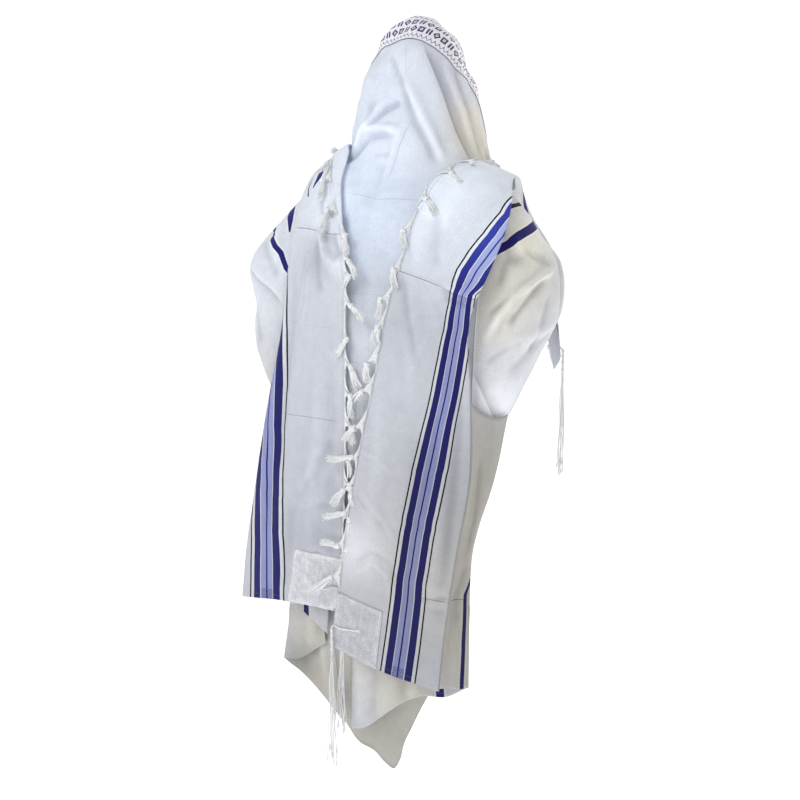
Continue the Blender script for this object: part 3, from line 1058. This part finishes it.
# Tassels that show on the back, from the hem up.  Columns: share along the fringed edge of its root, then how far
# the knot and the tuft's end lie past the edge and further down it, mm.
KNOTS = {
    LEFT: [
        (0.017, 16, 8, 23, 45), (0.054, 14, 11, 8, 50), (0.096, 11, 14, 2, 40), (0.134, 15, 13, 12, 47),
        (0.175, 15, 11, 21, 47), (0.212, 9, 20, 14, 50), (0.251, 15, 18, 20, 48), (0.287, 12, 14, 15, 54),
        (0.323, 13, 15, 30, 54), (0.363, 5, 26, -22, 56), (0.398, 16, 18, 46, 44), (0.427, 12, 11, -4, 28),
        (0.453, 18, 26, 36, 58), (0.484, 8, 24, 9, 62), (0.537, -15, 4, -38, 50), (0.588, -14, 6, -24, 52),
        (0.612, -6, 8, -14, 36), (0.655, -9, 4, -12, 14), (0.695, -9, 8, -18, 34), (0.735, -8, 9, -15, 40),
        (0.768, -5, 2, -9, 14), (0.805, 8, 8, 10, 30),
    ],
    RIGHT: [
        (0.093, 15, 9, 53, 46), (0.135, 10, 11, 45, 14), (0.178, 4, 13, 46, 36),
        (0.207, 14, 16, 28, 48), (0.242, 10, 4, 56, 22), (0.285, 15, 17, 30, 44), (0.330, 16, 19, 28, 38),
        (0.369, 17, 27, 10, 60), (0.410, 7, 21, 3, 50), (0.437, 13, 16, 10, 49), (0.479, 7, 24, -9, 55),
        (0.522, 9, 20, -5, 48), (0.555, -10, 6, -40, 28), (0.600, -17, 5, -52, 15), (0.636, -12, 5, -50, -6),
    ],
}
KNOT_PITCH = 0.036                      # share along the edge from one tassel to the next
WEB_STRANDS = 13                        # warp ends on each side of a knot
TUFT_STRANDS = 28


def fringe(name, flap, finish, chance, side, turned):
    """Knotted tassels along a fringed edge: a web of gathered warp ends, a knot and an open tuft.

    turned gives where a tassel starts, from its share along the edge, or None where that is on the edge.
    """
    edge = flap[:, 0]
    away = unit(edge - flap[:, 3])
    out = normals(flap)[:, 0]
    travelled = lengths_along(edge)
    threads = Threads()

    def at(line, where):
        return along_line(where, travelled, line)

    rows = list(KNOTS[side])
    while rows[-1][0] + KNOT_PITCH < 0.99:
        spread, fall = 8 + 8 * chance.random(), 8 + 12 * chance.random()
        rows.append((rows[-1][0] + KNOT_PITCH, spread, fall, spread + 14 * (chance.random() - 0.3), fall + 34))
    for k, (share, knot_out, knot_down, tip_out, tip_down) in enumerate(rows):
        middle = share * travelled[-1]
        normal = unit(at(out, middle))
        edgewise = unit(at(edge, middle + 0.004) - at(edge, middle - 0.004))
        down = edgewise if edgewise[Z] < 0 else -edgewise
        sideways = at(away, middle)
        sideways = unit(sideways - down * float(sideways @ down))
        base = turned(middle / travelled[-1])
        if base is None:
            base = at(edge, middle)
        hold = -1 if knot_out < 0 else 1
        knot = base + (sideways * knot_out + down * knot_down) * MM + normal * 0.0052
        tip = base + (sideways * tip_out + down * tip_down) * MM + normal * 0.0056
        heading = unit(knot - base)
        cross = unit(np.cross(normal, heading))
        arm = 0.021 + 0.004 * chance.random()
        for s in (-1, 1):
            twist = chance.random() * 3
            for strand in range(WEB_STRANDS):
                at_arm = (strand + 0.5) / WEB_STRANDS
                root = base + edgewise * s * (0.0015 + arm * at_arm) - sideways * hold * 0.0025 + normal * 0.0014
                meet = knot - heading * 0.0022 + cross * s * 0.0018 * (1 - at_arm)
                sag = ((root + meet) / 2 + normal * (0.0010 + 0.0010 * math.sin(twist + strand))
                       - (edgewise * s * 0.0040 + heading * 0.0022) * at_arm)
                threads.tube(evenly([root, sag, meet], 4), np.linspace(0.00105, 0.00085, 5), turn=strand)
        tuft_way, length = unit(tip - knot), float(np.linalg.norm(tip - knot))
        half = unit(heading + tuft_way) * 0.0040
        threads.coil([knot - half, knot, knot + half], 0.0031, 2.3, 0.0026, phase=k)
        threads.coil([knot - half * 0.4 + cross * 0.0016, knot + tuft_way * 0.0050], 0.0037, 1.3, 0.0024, phase=2 + k)
        across = unit(np.cross(tuft_way, normal))
        curl = (chance.random() - 0.5) * 0.012
        wide = 0.85 + 0.5 * chance.random()
        for _ in range(TUFT_STRANDS):
            spin, far = chance.random() * 2 * math.pi, math.sqrt(chance.random())
            spot = across * math.cos(spin) * far * wide + normal * math.sin(spin) * far * 0.42
            now = length * (0.76 + 0.32 * chance.random())
            wave = (chance.random(3) - 0.5) * 0.0040
            # Columns: share of the strand, how far it spreads, how much of its wave and of the tuft's curl it has.
            points = [knot + tuft_way * now * part + spot * spread + wave * waved + across * curl * curled
                      for part, spread, waved, curled in ((0.35, 0.0050, 0.5, 0.3), (0.68, 0.0064, -0.6, 0.5),
                                                          (1.0, 0.0070, 1.0, 0.0))]
            threads.tube(evenly([knot + tuft_way * 0.001 + spot * 0.0024, *points], 6),
                         np.linspace(0.00120, 0.00065, 7), turn=spin)
    return threads.object(name, finish)


def tassel(name, flap, stops, hang, strings, finish, chance):
    """A corner tassel: doubled strings through the hole, a wound and knotted part, and eight strings.

    stops are shares along and across the thrown end, from the hole to the brink, with the cord's lift;
    hang is the way from the last to the top of the wound part; strings are their shortest and longest.
    """
    def over_flap(along, across, lift):
        return laid_on(flap, np.array([[along]]), np.array([[across]]), lift)[0, 0]

    path = [over_flap(along, across, lift * MM) for along, across, lift in stops]
    brink = stops[-1][0]
    normal = over_flap(brink, 0.0, 1.0) - over_flap(brink, 0.0, 0.0)
    top = path[-1] + np.array(hang) * MM
    end = top - np.array((0, 0, WOUND_LENGTH))
    cord = evenly([*path, (path[-1] + top) / 2 + normal * 0.0014, top], 44)
    threads = Threads()
    for strand in range(4):
        threads.coil(cord, 0.00105, 8, 0.00078, phase=strand * math.pi / 2)
    core = evenly([top, (top + end) / 2 + normal * 0.0006, end], 24)
    threads.tube(core, 0.0014)
    place, knot = 0.0, 0.055                # shares of the wound part: what is done so far, and one knot
    for turns, share in ((7, 0.11), (8, 0.14), (11, 0.19), (13, 0.23)):
        begin, wound, stop = [top + (end - top) * part for part in (place, place + knot, place + knot + share)]
        threads.coil([begin, wound], 0.0025, 2.2, 0.0011, phase=place * 40)
        threads.coil([wound, (wound + stop) / 2, stop], 0.0018, turns, 0.0006)
        place += knot + share
    threads.coil([top + (end - top) * (place + 0.005), end], 0.0026, 2.4, 0.0011)
    across = unit(np.cross((0, 0, 1.0), normal))
    for strand in range(8):
        i, j = strand % 4, strand // 4
        place = across * (i - 1.5) * 0.0013 + normal * (j - 0.5) * 0.0016
        length = uneven(strings, 2.3 * i + 4.1 * j)
        sway = across * (i - 1.5) * 0.0024 + normal * (j - 0.5) * 0.0022
        wave = (chance.random((4, 3)) - 0.5) * np.array((0.0060, 0.0030, 0.0))
        way = [end + place * 0.7]
        for step, share in enumerate((0.25, 0.5, 0.75, 1.0)):
            way.append(end + place + sway * share * 1.6 + wave[step] - np.array((0, 0, length * share)))
        way = evenly(way, 42)
        for ply in (0.0, math.pi):
            threads.coil(way, 0.00050, 34, 0.00062, phase=ply + strand)
        threads.coil([way[-1] + (0, 0, 0.003), way[-1] - (0, 0, 0.001)], 0.0010, 1.6, 0.0008)
        for tuft in range(5):
            angle = tuft * 2 * math.pi / 5 + strand
            flare = np.array((math.cos(angle), math.sin(angle), 0)) * 0.0026
            low = way[-1] - np.array((0, 0, 0.011))
            threads.tube([way[-1], (way[-1] + low) / 2 + flare * 0.6, low + flare], (0.0007, 0.0006, 0.0003))
    return threads.object(name, finish)


# ---- stretches that lie on a panel ------------------------------------------------------------------
def between_points(grid, i, j):
    """Points of a grid at places between its own points; i and j have the same shape."""
    i0 = np.clip(i.astype(int), 0, grid.shape[0] - 2)
    j0 = np.clip(j.astype(int), 0, grid.shape[1] - 2)
    a, b = (i - i0)[..., None], (j - j0)[..., None]
    return ((grid[i0, j0] * (1 - b) + grid[i0, j0 + 1] * b) * (1 - a)
            + (grid[i0 + 1, j0] * (1 - b) + grid[i0 + 1, j0 + 1] * b) * a)


def laid_on(grid, rows, columns, lift, row_shares=None):
    """Points just over a panel, at shares of its length and width: one for each, or a whole grid."""
    if np.ndim(rows) == 1:
        rows, columns = np.meshgrid(rows, columns, indexing="ij")
    known = np.linspace(0, 1, grid.shape[0]) if row_shares is None else row_shares
    i = np.interp(rows, known, np.arange(grid.shape[0]))
    j = columns * (grid.shape[1] - 1.0)
    return between_points(grid, i, j) + unit(between_points(normals(grid), i, j)) * lift


def make_neckband(panel, shares, finish):
    """The neckband, which tapers towards both sides of the face."""
    count = BAND_POINTS[0]
    across = np.linspace(0.5 - BAND_SHARE[1] / 2, 0.5 + BAND_SHARE[1] / 2, BAND_POINTS[1])
    rear = BAND_SHARE[0] + np.interp(across, *np.array(BAND_REAR).T)
    rows = np.linspace(0, 1, count)[:, None] * rear[None, :]
    grid = laid_on(panel, rows, np.repeat(across[None, :], count, axis=0), 0.0016, shares)
    along, u = flat_lengths(grid)
    u = u[-1][None, :] - u[-1, u.shape[1] // 2]
    v = along[-1][None, :] - along
    places = np.stack([np.repeat(u, count, axis=0), v], axis=-1)
    made = cloth_piece("neckband_woven", grid, places, finish, thickness=0.0010)
    flat, area = flat_size(grid)
    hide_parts("neckband")


def make_patch(node, word, flap, finish):
    """A corner patch; its rim and its hole are facts of its points."""
    name = node + "_satin"
    low = (1 - PATCH_SHARE[0], 1) if "front" in node else (0, PATCH_SHARE[0])
    grid = laid_on(flap, np.linspace(*low, PATCH_POINTS), np.linspace(0, PATCH_SHARE[1], PATCH_POINTS), 0.0017)
    grid, _ = pressed(grid, [], 0.0006, 1.7)
    along, across = flat_lengths(grid)
    rim = np.minimum.reduce([along, along[-1][None, :] - along, across, across[:, -1][:, None] - across])
    hole = np.linalg.norm(grid - laid_on(flap, *np.array(HOLES[node])[:, None], 0.0017)[0, 0], axis=2)
    made = cloth_piece(name, grid, np.stack([along, across], axis=-1), finish, thickness=0.0009,
                       facts={"rim": rim, "hole": hole, "tone": tone_at(grid, name)})
    flat, area = flat_size(grid)
    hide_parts(node)


# ---- the whole garment --------------------------------------------------------------------------------
# Columns: side, its name, phase of its wrinkles, rows and creases of the thrown end, its group of stripes,
# rows and creases of the sleeve.
SIDES = (
    (LEFT, "left", 1.1, LEFT_FLAP_ROWS, LEFT_FLAP_CREASES, LEFT_GROUP, LEFT_SLEEVE_ROWS, LEFT_SLEEVE_CREASES),
    (RIGHT, "right", 2.3, RIGHT_FLAP_ROWS, RIGHT_FLAP_CREASES, RIGHT_GROUP, RIGHT_SLEEVE_ROWS, RIGHT_SLEEVE_CREASES),
)
# Corner tassels.  Columns: node, side, the cord's stops (share along and across the thrown end, lift), the way
# from the last to the wound part, the shortest and longest string.
TZITZIT = (
    ("tzitzit_back_left", LEFT, ((0.040, 0.215, 1.5), (0.030, 0.13, 4.5), (0.036, 0.05, 5.0), (0.034, 0, 3.0)),
     (-6, 3, -20), (0.165, 0.195)),
    ("tzitzit_back_right", RIGHT, ((0.040, 0.245, 1.5), (0.036, 0.16, 4.5), (0.032, 0.08, 5.5), (0.030, 0, 5.0)),
     (0, 3, -5), (0.175, 0.205)),
    ("tzitzit_front_left", LEFT, ((0.960, 0.245, 1.5), (0.970, 0.12, 4.5), (0.970, 0, 4.0)),
     (-4, -6, -22), (0.165, 0.190)),
    ("tzitzit_front_right", RIGHT, ((0.965, 0.26, 1.5), (0.965, 0.12, 4.5), (0.965, 0, 4.0)),
     (-24, -14, -24), (0.165, 0.190)),
)
# How warm the cloth is, from -1, bluish, to 1, cream.  Columns: middle, radius, amount.
TINTS = {
    "back_cloth": [((30, 200, -330), 170, -0.9), ((70, 60, -130), 120, -0.5), ((0, 150, -1420), 240, 0.85),
        ((120, 200, -1280), 130, 0.6), ((-60, 200, -1250), 110, 0.6), ((180, 205, -1240), 60, 1.0),
        ((60, 235, -1266), 60, 0.6), ((-112, 50, -190), 55, 1.0), ((-130, 20, -270), 90, 1.1)],
    "sleeve_cloth_right": [((-215, 120, -410), 120, 1.1), ((-200, 180, -520), 80, 0.5)],
    "sleeve_cloth_left": [((270, 190, -680), 80, 0.35)],
    "tail_cloth_right": [((-190, 236, -1100), 200, 1.0), ((-205, 205, -800), 180, 0.9)],
    "under_cloth_right": [((-80, 250, -1240), 80, 0.9), ((20, 250, -1150), 120, 0.45)],
    "under_cloth_left": [((180, 240, -1060), 120, 0.5)],
    "lower_cloth_left": [((150, 236, -1120), 160, 0.7), ((110, 240, -1200), 70, 0.5)],
    "flap_cloth_right": [((-170, 250, -1000), 160, 0.55), ((-100, 170, -310), 150, -0.5)],
    "flap_cloth_left": [((140, 170, -320), 120, -0.2)],
}
# Where the light falls full on the stripes.
LIT = {"flap_cloth_right": [((-190, 150, -330), 120, 1.3)]}
# How grey the cloth is: heights (m) and the amount at each, and places that add to it, or below 0 brighten it.
TONE_HEIGHTS = ((-1.40, -1.10, -0.75, -0.50, -0.36, -0.24), (0.62, 0.55, 0.42, 0.34, 0.14, 0.04))
TONES = {
    "back_cloth": [((30, 190, -320), 150, -0.30), ((40, 236, -640), 130, -0.32), ((10, 240, -900), 200, -0.35),
        ((175, 210, -1236), 50, 0.5), ((60, 232, -1266), 50, 0.35), ((-55, 222, -1330), 60, -0.02),
        ((40, 225, -470), 70, 0.10), ((68, 107, -165), 16, 0.35), ((85, 116, -205), 26, -0.25),
        ((98, 142, -288), 34, -0.15), ((74, 183, -340), 34, -0.15), ((59, 205, -392), 34, -0.15),
        ((86, 166, -322), 17, -0.40), ((64, 197, -372), 18, -0.30), ((50, 214, -428), 20, -0.40),
        ((60, 200, -1340), 120, -0.05), ((-112, 30, -190), 60, -0.45), ((-50, 200, -1330), 70, 0.25)],
    "flap_cloth_right": [((-163, 142, -285), 24, -0.40), ((-128, 212, -385), 32, 0.30),
        ((4, 282, -960), 50, -0.45), ((-130, 160, -310), 150, -0.75), ((-180, 250, -900), 110, 0.25),
        ((-150, 262, -1140), 120, 0.20), ((-80, 225, -430), 60, 0.15), ((-165, 240, -780), 100, 0.25),
        ((-80, 245, -530), 70, 0.25), ((-200, -150, -600), 70, 0.55)],
    "flap_cloth_left": [((150, 250, -900), 140, 0.05), ((180, 0, -265), 60, -0.7), ((130, 158, -308), 80, -0.25),
        ((112, 190, -350), 40, -0.25), ((118, 220, -425), 45, 0.35), ((74, 226, -402), 20, -0.35),
        ((58, 234, -445), 20, -0.35), ((240, 215, -1000), 120, -0.15), ((122, 270, -960), 50, 0.2)],
    "sleeve_cloth_right": [((-225, 110, -440), 150, -0.33), ((-242, 85, -382), 50, -1.0),
        ((-220, 110, -560), 90, -0.35), ((-209, 165, -690), 60, -1.3)],
    "sleeve_cloth_left": [((300, 130, -480), 160, -0.35)],
    "tail_cloth_right": [((-200, 200, -900), 400, 0.30)],
    "under_cloth_right": [((20, 250, -1230), 110, -0.35)],
    "lower_cloth_left": [((150, 236, -1120), 200, -0.08), ((120, 240, -1220), 60, 0.15),
        ((175, 222, -1235), 45, 0.45)],
    "patch_back_left_satin": [((80, 270, -1060), 200, -0.75)],
    "patch_back_right_satin": [((10, 284, -1110), 200, -0.20)],
}


def dressed(name, node, grid, creased, places, finish, hem, rolled_edge=False):
    """One declared stretch of cloth that stands for its node."""
    flat, area = flat_size(grid)
    outer = np.full(grid.shape[:2], 1.0)
    if rolled_edge:
        grid = rolled(grid)
        _, across = flat_lengths(grid)
        # The seam along the far edge shows on the right end only.
        outer = across[:, -1][:, None] - across + (0.02 if name.endswith("left") else 0.0)
    shade = creased.pop("shade")
    facts = dict(creased, hem=hem, outer=outer, tint=np.clip(blobs(grid, TINTS.get(name, [])), -1, 1),
                 tone=tone_at(grid, name) + shade, lit=np.clip(blobs(grid, LIT.get(name, [])), 0, 1),
                 mark=inside_marks(grid, MARKS.get(node, [])), thin=inside_marks(grid, THIN_MARKS.get(node, [])))
    made = cloth_piece(name, grid, places, finish, facts=facts)
    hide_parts(node)


def surface_area(grid):
    """Area of a grid, as two triangles for each cell."""
    across = np.cross(grid[1:, :-1] - grid[:-1, :-1], grid[:-1, 1:] - grid[:-1, :-1])
    other = np.cross(grid[1:, :-1] - grid[1:, 1:], grid[:-1, 1:] - grid[1:, 1:])
    return float(np.linalg.norm(across, axis=2).sum() + np.linalg.norm(other, axis=2).sum()) / 2


def flat_size(grid):
    """Width and length of the stretch's cut, and its flat area."""
    along, across = flat_lengths(grid)
    width, length = float(across[:, -1].max()), float(along[-1].max())
    return (round(width, 3), round(length, 3)), min(surface_area(grid), width * length)


def turned_edge(flap, finish):
    """The fringed edge of the left end, turned back over itself on the shoulder."""
    share = np.linspace(TURNED[0][0], TURNED[-1][0], 90)
    table = np.array(TURNED)
    past, over = [smooth_through(table[:, 0], table[:, column], share) * MM for column in (1, 2)]
    edge, inward, out = [laid_on(flap, share[:, None], share[:, None] * 0 + column, lift)[:, 0]
                         for column, lift in ((0, 0.0), (0.06, 0.0), (0, 1.0))]
    inward, out = inward - edge, out - edge
    inward = unit(inward)
    low, turn = 0.0016, 0.0017              # height over the end, radius of the fold
    grid = [edge + inward * lower + out * low for lower in (0.004, 0.002)]
    for t in np.linspace(0, 1, 8):
        grid.append(edge - inward * (past * t)[:, None] + out * low)
    for angle in np.linspace(0, math.pi, 7)[1:]:
        grid.append(edge - inward * (past + turn * math.sin(angle))[:, None]
                    + out * (low + turn * (1 - math.cos(angle))))
    for t in np.linspace(0, 1, 14)[1:]:
        grid.append(edge - inward * (past - (past + over) * t)[:, None]
                    + out * (low + 2 * turn + 0.0008 * math.sin(t * math.pi)))
    grid = np.stack(grid, axis=1)
    _, across = flat_lengths(grid)
    v = across[:, -1][:, None] - across
    places = np.stack([np.repeat(share[:, None] * 1.34, grid.shape[1], axis=1), v], axis=-1)
    level = {"hem": 1, "outer": 1, "tint": -0.3, "tone": -0.30, "lit": 0, "fold": 0.5, "mark": -1, "thin": -1,
             "edge": 9, "edge_dark": 0, "line": 9, "line_dark": 0}
    facts = {key: np.full(grid.shape[:2], float(value)) for key, value in level.items()}
    made = cloth_piece("turned_edge_left", grid, places, finish, thickness=0.0011, facts=facts)
    flat, area = flat_size(grid)
    return share, grid


def main_cloth(finish):
    """Every stretch of cloth; returns the surfaces that other pieces lie on."""
    panel, shares = panel_grid()
    panel, facts = pressed(panel, HOOD_CREASES + BACK_CREASES, 0.0011, 0.3, 0.040)
    along, across = flat_lengths(panel)
    hem = along[-1][None, :] - along
    v = PLAIN + across - across[:, across.shape[1] // 2][:, None]
    dressed("back_cloth", "back_panel", panel, facts, np.stack([hem, v], axis=-1), finish, hem)

    flaps = {}
    for side, word, phase, flap_rows, flap_creases, group, sleeve_rows, sleeve_creases in SIDES:
        flap, facts = pressed(surface(flap_rows, FLAP_CELLS), flap_creases, 0.0010, phase)
        flaps[side] = flap
        places = flap_places(flap, group)
        hem = np.minimum(places[..., 0], places[-1, 0, 0] - places[..., 0])
        dressed("flap_cloth_" + word, "flap_" + word, flap, facts, places, finish, hem, True)
        edges = sleeve_grid(sleeve_rows, flap, panel, side)
        sleeve, facts = pressed(edges, sleeve_creases, 0.0014, 0.9, 0.034)
        t = np.linspace(0, 1, sleeve.shape[1])
        hold = np.clip(np.minimum(t, 1 - t) / 0.04, 0, 1)[None, :, None]
        sleeve = edges * (1 - hold) + sleeve * hold
        along, across = flat_lengths(sleeve)
        dressed("sleeve_cloth_" + word, "sleeve_" + word, sleeve, facts, np.stack([along, PLAIN + across], axis=-1),
                finish, along * 0 + 1.0)

    tail = fold_grid(TAIL_RIGHT_ROWS, behind_shoulder(seam_beside(flaps[RIGHT], -1, -1, FOLD_SEAM)))
    beside_left = behind_shoulder(seam_beside(flaps[LEFT], -1, -1))
    for node, name, grid in (
            ("tail_right", "tail_cloth_right", tail),
            ("under_fold_right", "under_cloth_right", fold_grid(UNDER_RIGHT_ROWS, seam_beside(tail, -1, -1))),
            ("under_fold_left", "under_cloth_left", fold_grid(UNDER_LEFT_ROWS, beside_left)),
            ("lower_fold_left", "lower_cloth_left",
             fold_grid(LOWER_LEFT_ROWS, behind_shoulder(seam_beside(panel, 0, 1))))):
        grid, facts = pressed(grid, LOW_CREASES[node], 0.0008, 0.5)
        along, across = flat_lengths(grid)
        hem = along[-1][None, :] - along
        dressed(name, node, grid, facts, np.stack([hem, PLAIN + across], axis=-1), finish, hem)
    return panel, shares, flaps


def dress():
    cloth, band, patch, thread = cloth_finish(), band_finish(), patch_finish(), thread_finish()
    panel, shares, flaps = main_cloth(cloth)
    make_neckband(panel, shares, band)
    strip_shares, strip = turned_edge(flaps[LEFT], cloth)

    def on_turned_edge(share):
        """Where the tassels of the turned edge start, on the strip's free edge, or None beside it."""
        if strip_shares[0] + 0.01 < share < strip_shares[-1] - 0.012:
            return strip[int(np.argmin(abs(strip_shares - share))), -1]
        return None

    chance = np.random.default_rng(7)
    for side, word in ((LEFT, "left"), (RIGHT, "right")):
        turned = on_turned_edge if side == LEFT else lambda share: None
        knots = fringe("fringe_threads_" + word, flaps[side], thread, chance, side, turned)
        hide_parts("fringe_" + word)
        for place in ("back", "front"):
            make_patch("patch_%s_%s" % (place, word), word, flaps[side], patch)
    for node, side, stops, hang, strings in TZITZIT:
        made = tassel(node + "_strings", flaps[side], stops, hang, strings, thread, chance)
        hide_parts(node)


# ---- studio --------------------------------------------------------------------------------------------
CAMERA_ANGLE, CAMERA_AWAY, CAMERA_HEIGHT = math.radians(27.0), 2.8, -0.10
AIM_SIDEWAYS, AIM_HEIGHT = 0.058, -0.72934    # the place in the middle of the picture
FLOOR_HEIGHT, FLOOR_RADIUS = -1.76, 40
# Lamps.  Columns: name, place, what it points at, power, colour.
LAMPS = (
    ("key", (0.9, 2.6, 2.1), (0, 0.1, -0.5), 62, (0.95, 0.98, 1.0)),
    ("fill", (-2.4, 3.4, 0.6), (0, 0, -0.6), 14, (1.0, 0.97, 0.94)),
    ("front", (-0.8, -3.6, 0.8), (0, 0, -0.6), 40, (1.0, 0.98, 0.95)),
)
LAMP_SIZE = 2.4
# How the sky dims.  Columns: axis, the two places between which it changes, its strength at each.
SKY_FADES = ((Z, 0.12, 0.60, 1.0, 0.60), (Y, -0.55, 0.30, 1.0, 0.40), (X, -0.90, -0.30, 0.60, 1.0))


def placed(name, data, place, aim):
    """An object of the studio, a camera or a lamp, turned to look at a place with its top up."""
    made = bpy.data.objects.new(name, data)
    made.location = place
    heading = np.array(aim) - np.array(place)
    flat = math.hypot(heading[X], heading[Y])
    made.rotation_euler = (math.pi / 2 + math.atan2(heading[Z], flat), 0.0,
                           math.atan2(heading[Y], heading[X]) - math.pi / 2)
    bpy.context.scene.collection.objects.link(made)
    return made


def make_floor():
    mesh = bpy.data.meshes.new("floor")
    ring = [(FLOOR_RADIUS * math.cos(a), FLOOR_RADIUS * math.sin(a), FLOOR_HEIGHT)
            for a in np.linspace(0, 2 * math.pi, 64, endpoint=False)]
    mesh.from_pydata(ring, [], [list(range(64))])
    floor = bpy.data.objects.new("floor", mesh)
    n = Nodes(bpy.data.materials.new("studio_floor"))
    mesh.materials.append(n.finish((0.70, 0.70, 0.70), 0.9, n.bumps((n.noise(3.0), 0.02, 0.001)), 0.0))
    shader = n.tree.nodes["Principled BSDF"]
    n.feed(shader.inputs["Emission Color"], (1.0, 1.0, 1.0))
    n.feed(shader.inputs["Emission Strength"], 0.76)
    bpy.context.scene.collection.objects.link(floor)


def make_sky():
    world = bpy.data.worlds.new("studio_world")
    n = Nodes(world)
    direction = n.add("TexCoord", output="Generated")
    strength = None
    for axis, low, high, at_low, at_high in SKY_FADES:
        part = n.add("SeparateXYZ", {0: direction}, axis)
        fade = n.add("MapRange", {"Value": part, "From Min": low, "From Max": high,
                                  "To Min": at_low, "To Max": at_high})
        strength = fade if strength is None else strength * fade
    sky = n.tree.nodes["Background"]
    n.feed(sky.inputs["Strength"], strength)
    n.feed(sky.inputs["Color"], (1.06, 1.06, 1.06))
    bpy.context.scene.world = world


def studio():
    cos, sin = math.cos(CAMERA_ANGLE), math.sin(CAMERA_ANGLE)
    data = bpy.data.cameras.new("camera")
    data.sensor_width, data.lens = 36.0, 65.285
    data.clip_start, data.clip_end = 0.05, 100.0
    bpy.context.scene.camera = placed("camera", data, (-CAMERA_AWAY * sin, CAMERA_AWAY * cos, CAMERA_HEIGHT),
                                      (AIM_SIDEWAYS * cos, AIM_SIDEWAYS * sin, AIM_HEIGHT))
    make_floor()
    make_sky()
    for name, place, aim, power, colour in LAMPS:
        data = bpy.data.lights.new(name, "AREA")
        data.shape, data.size, data.energy, data.color = "DISK", LAMP_SIZE, power, colour
        placed(name, data, place, aim)
    view = bpy.context.scene.view_settings
    view.view_transform, view.look = "Standard", "None"
    view.exposure, view.gamma = 0.0, 1.0


studio()
dress()
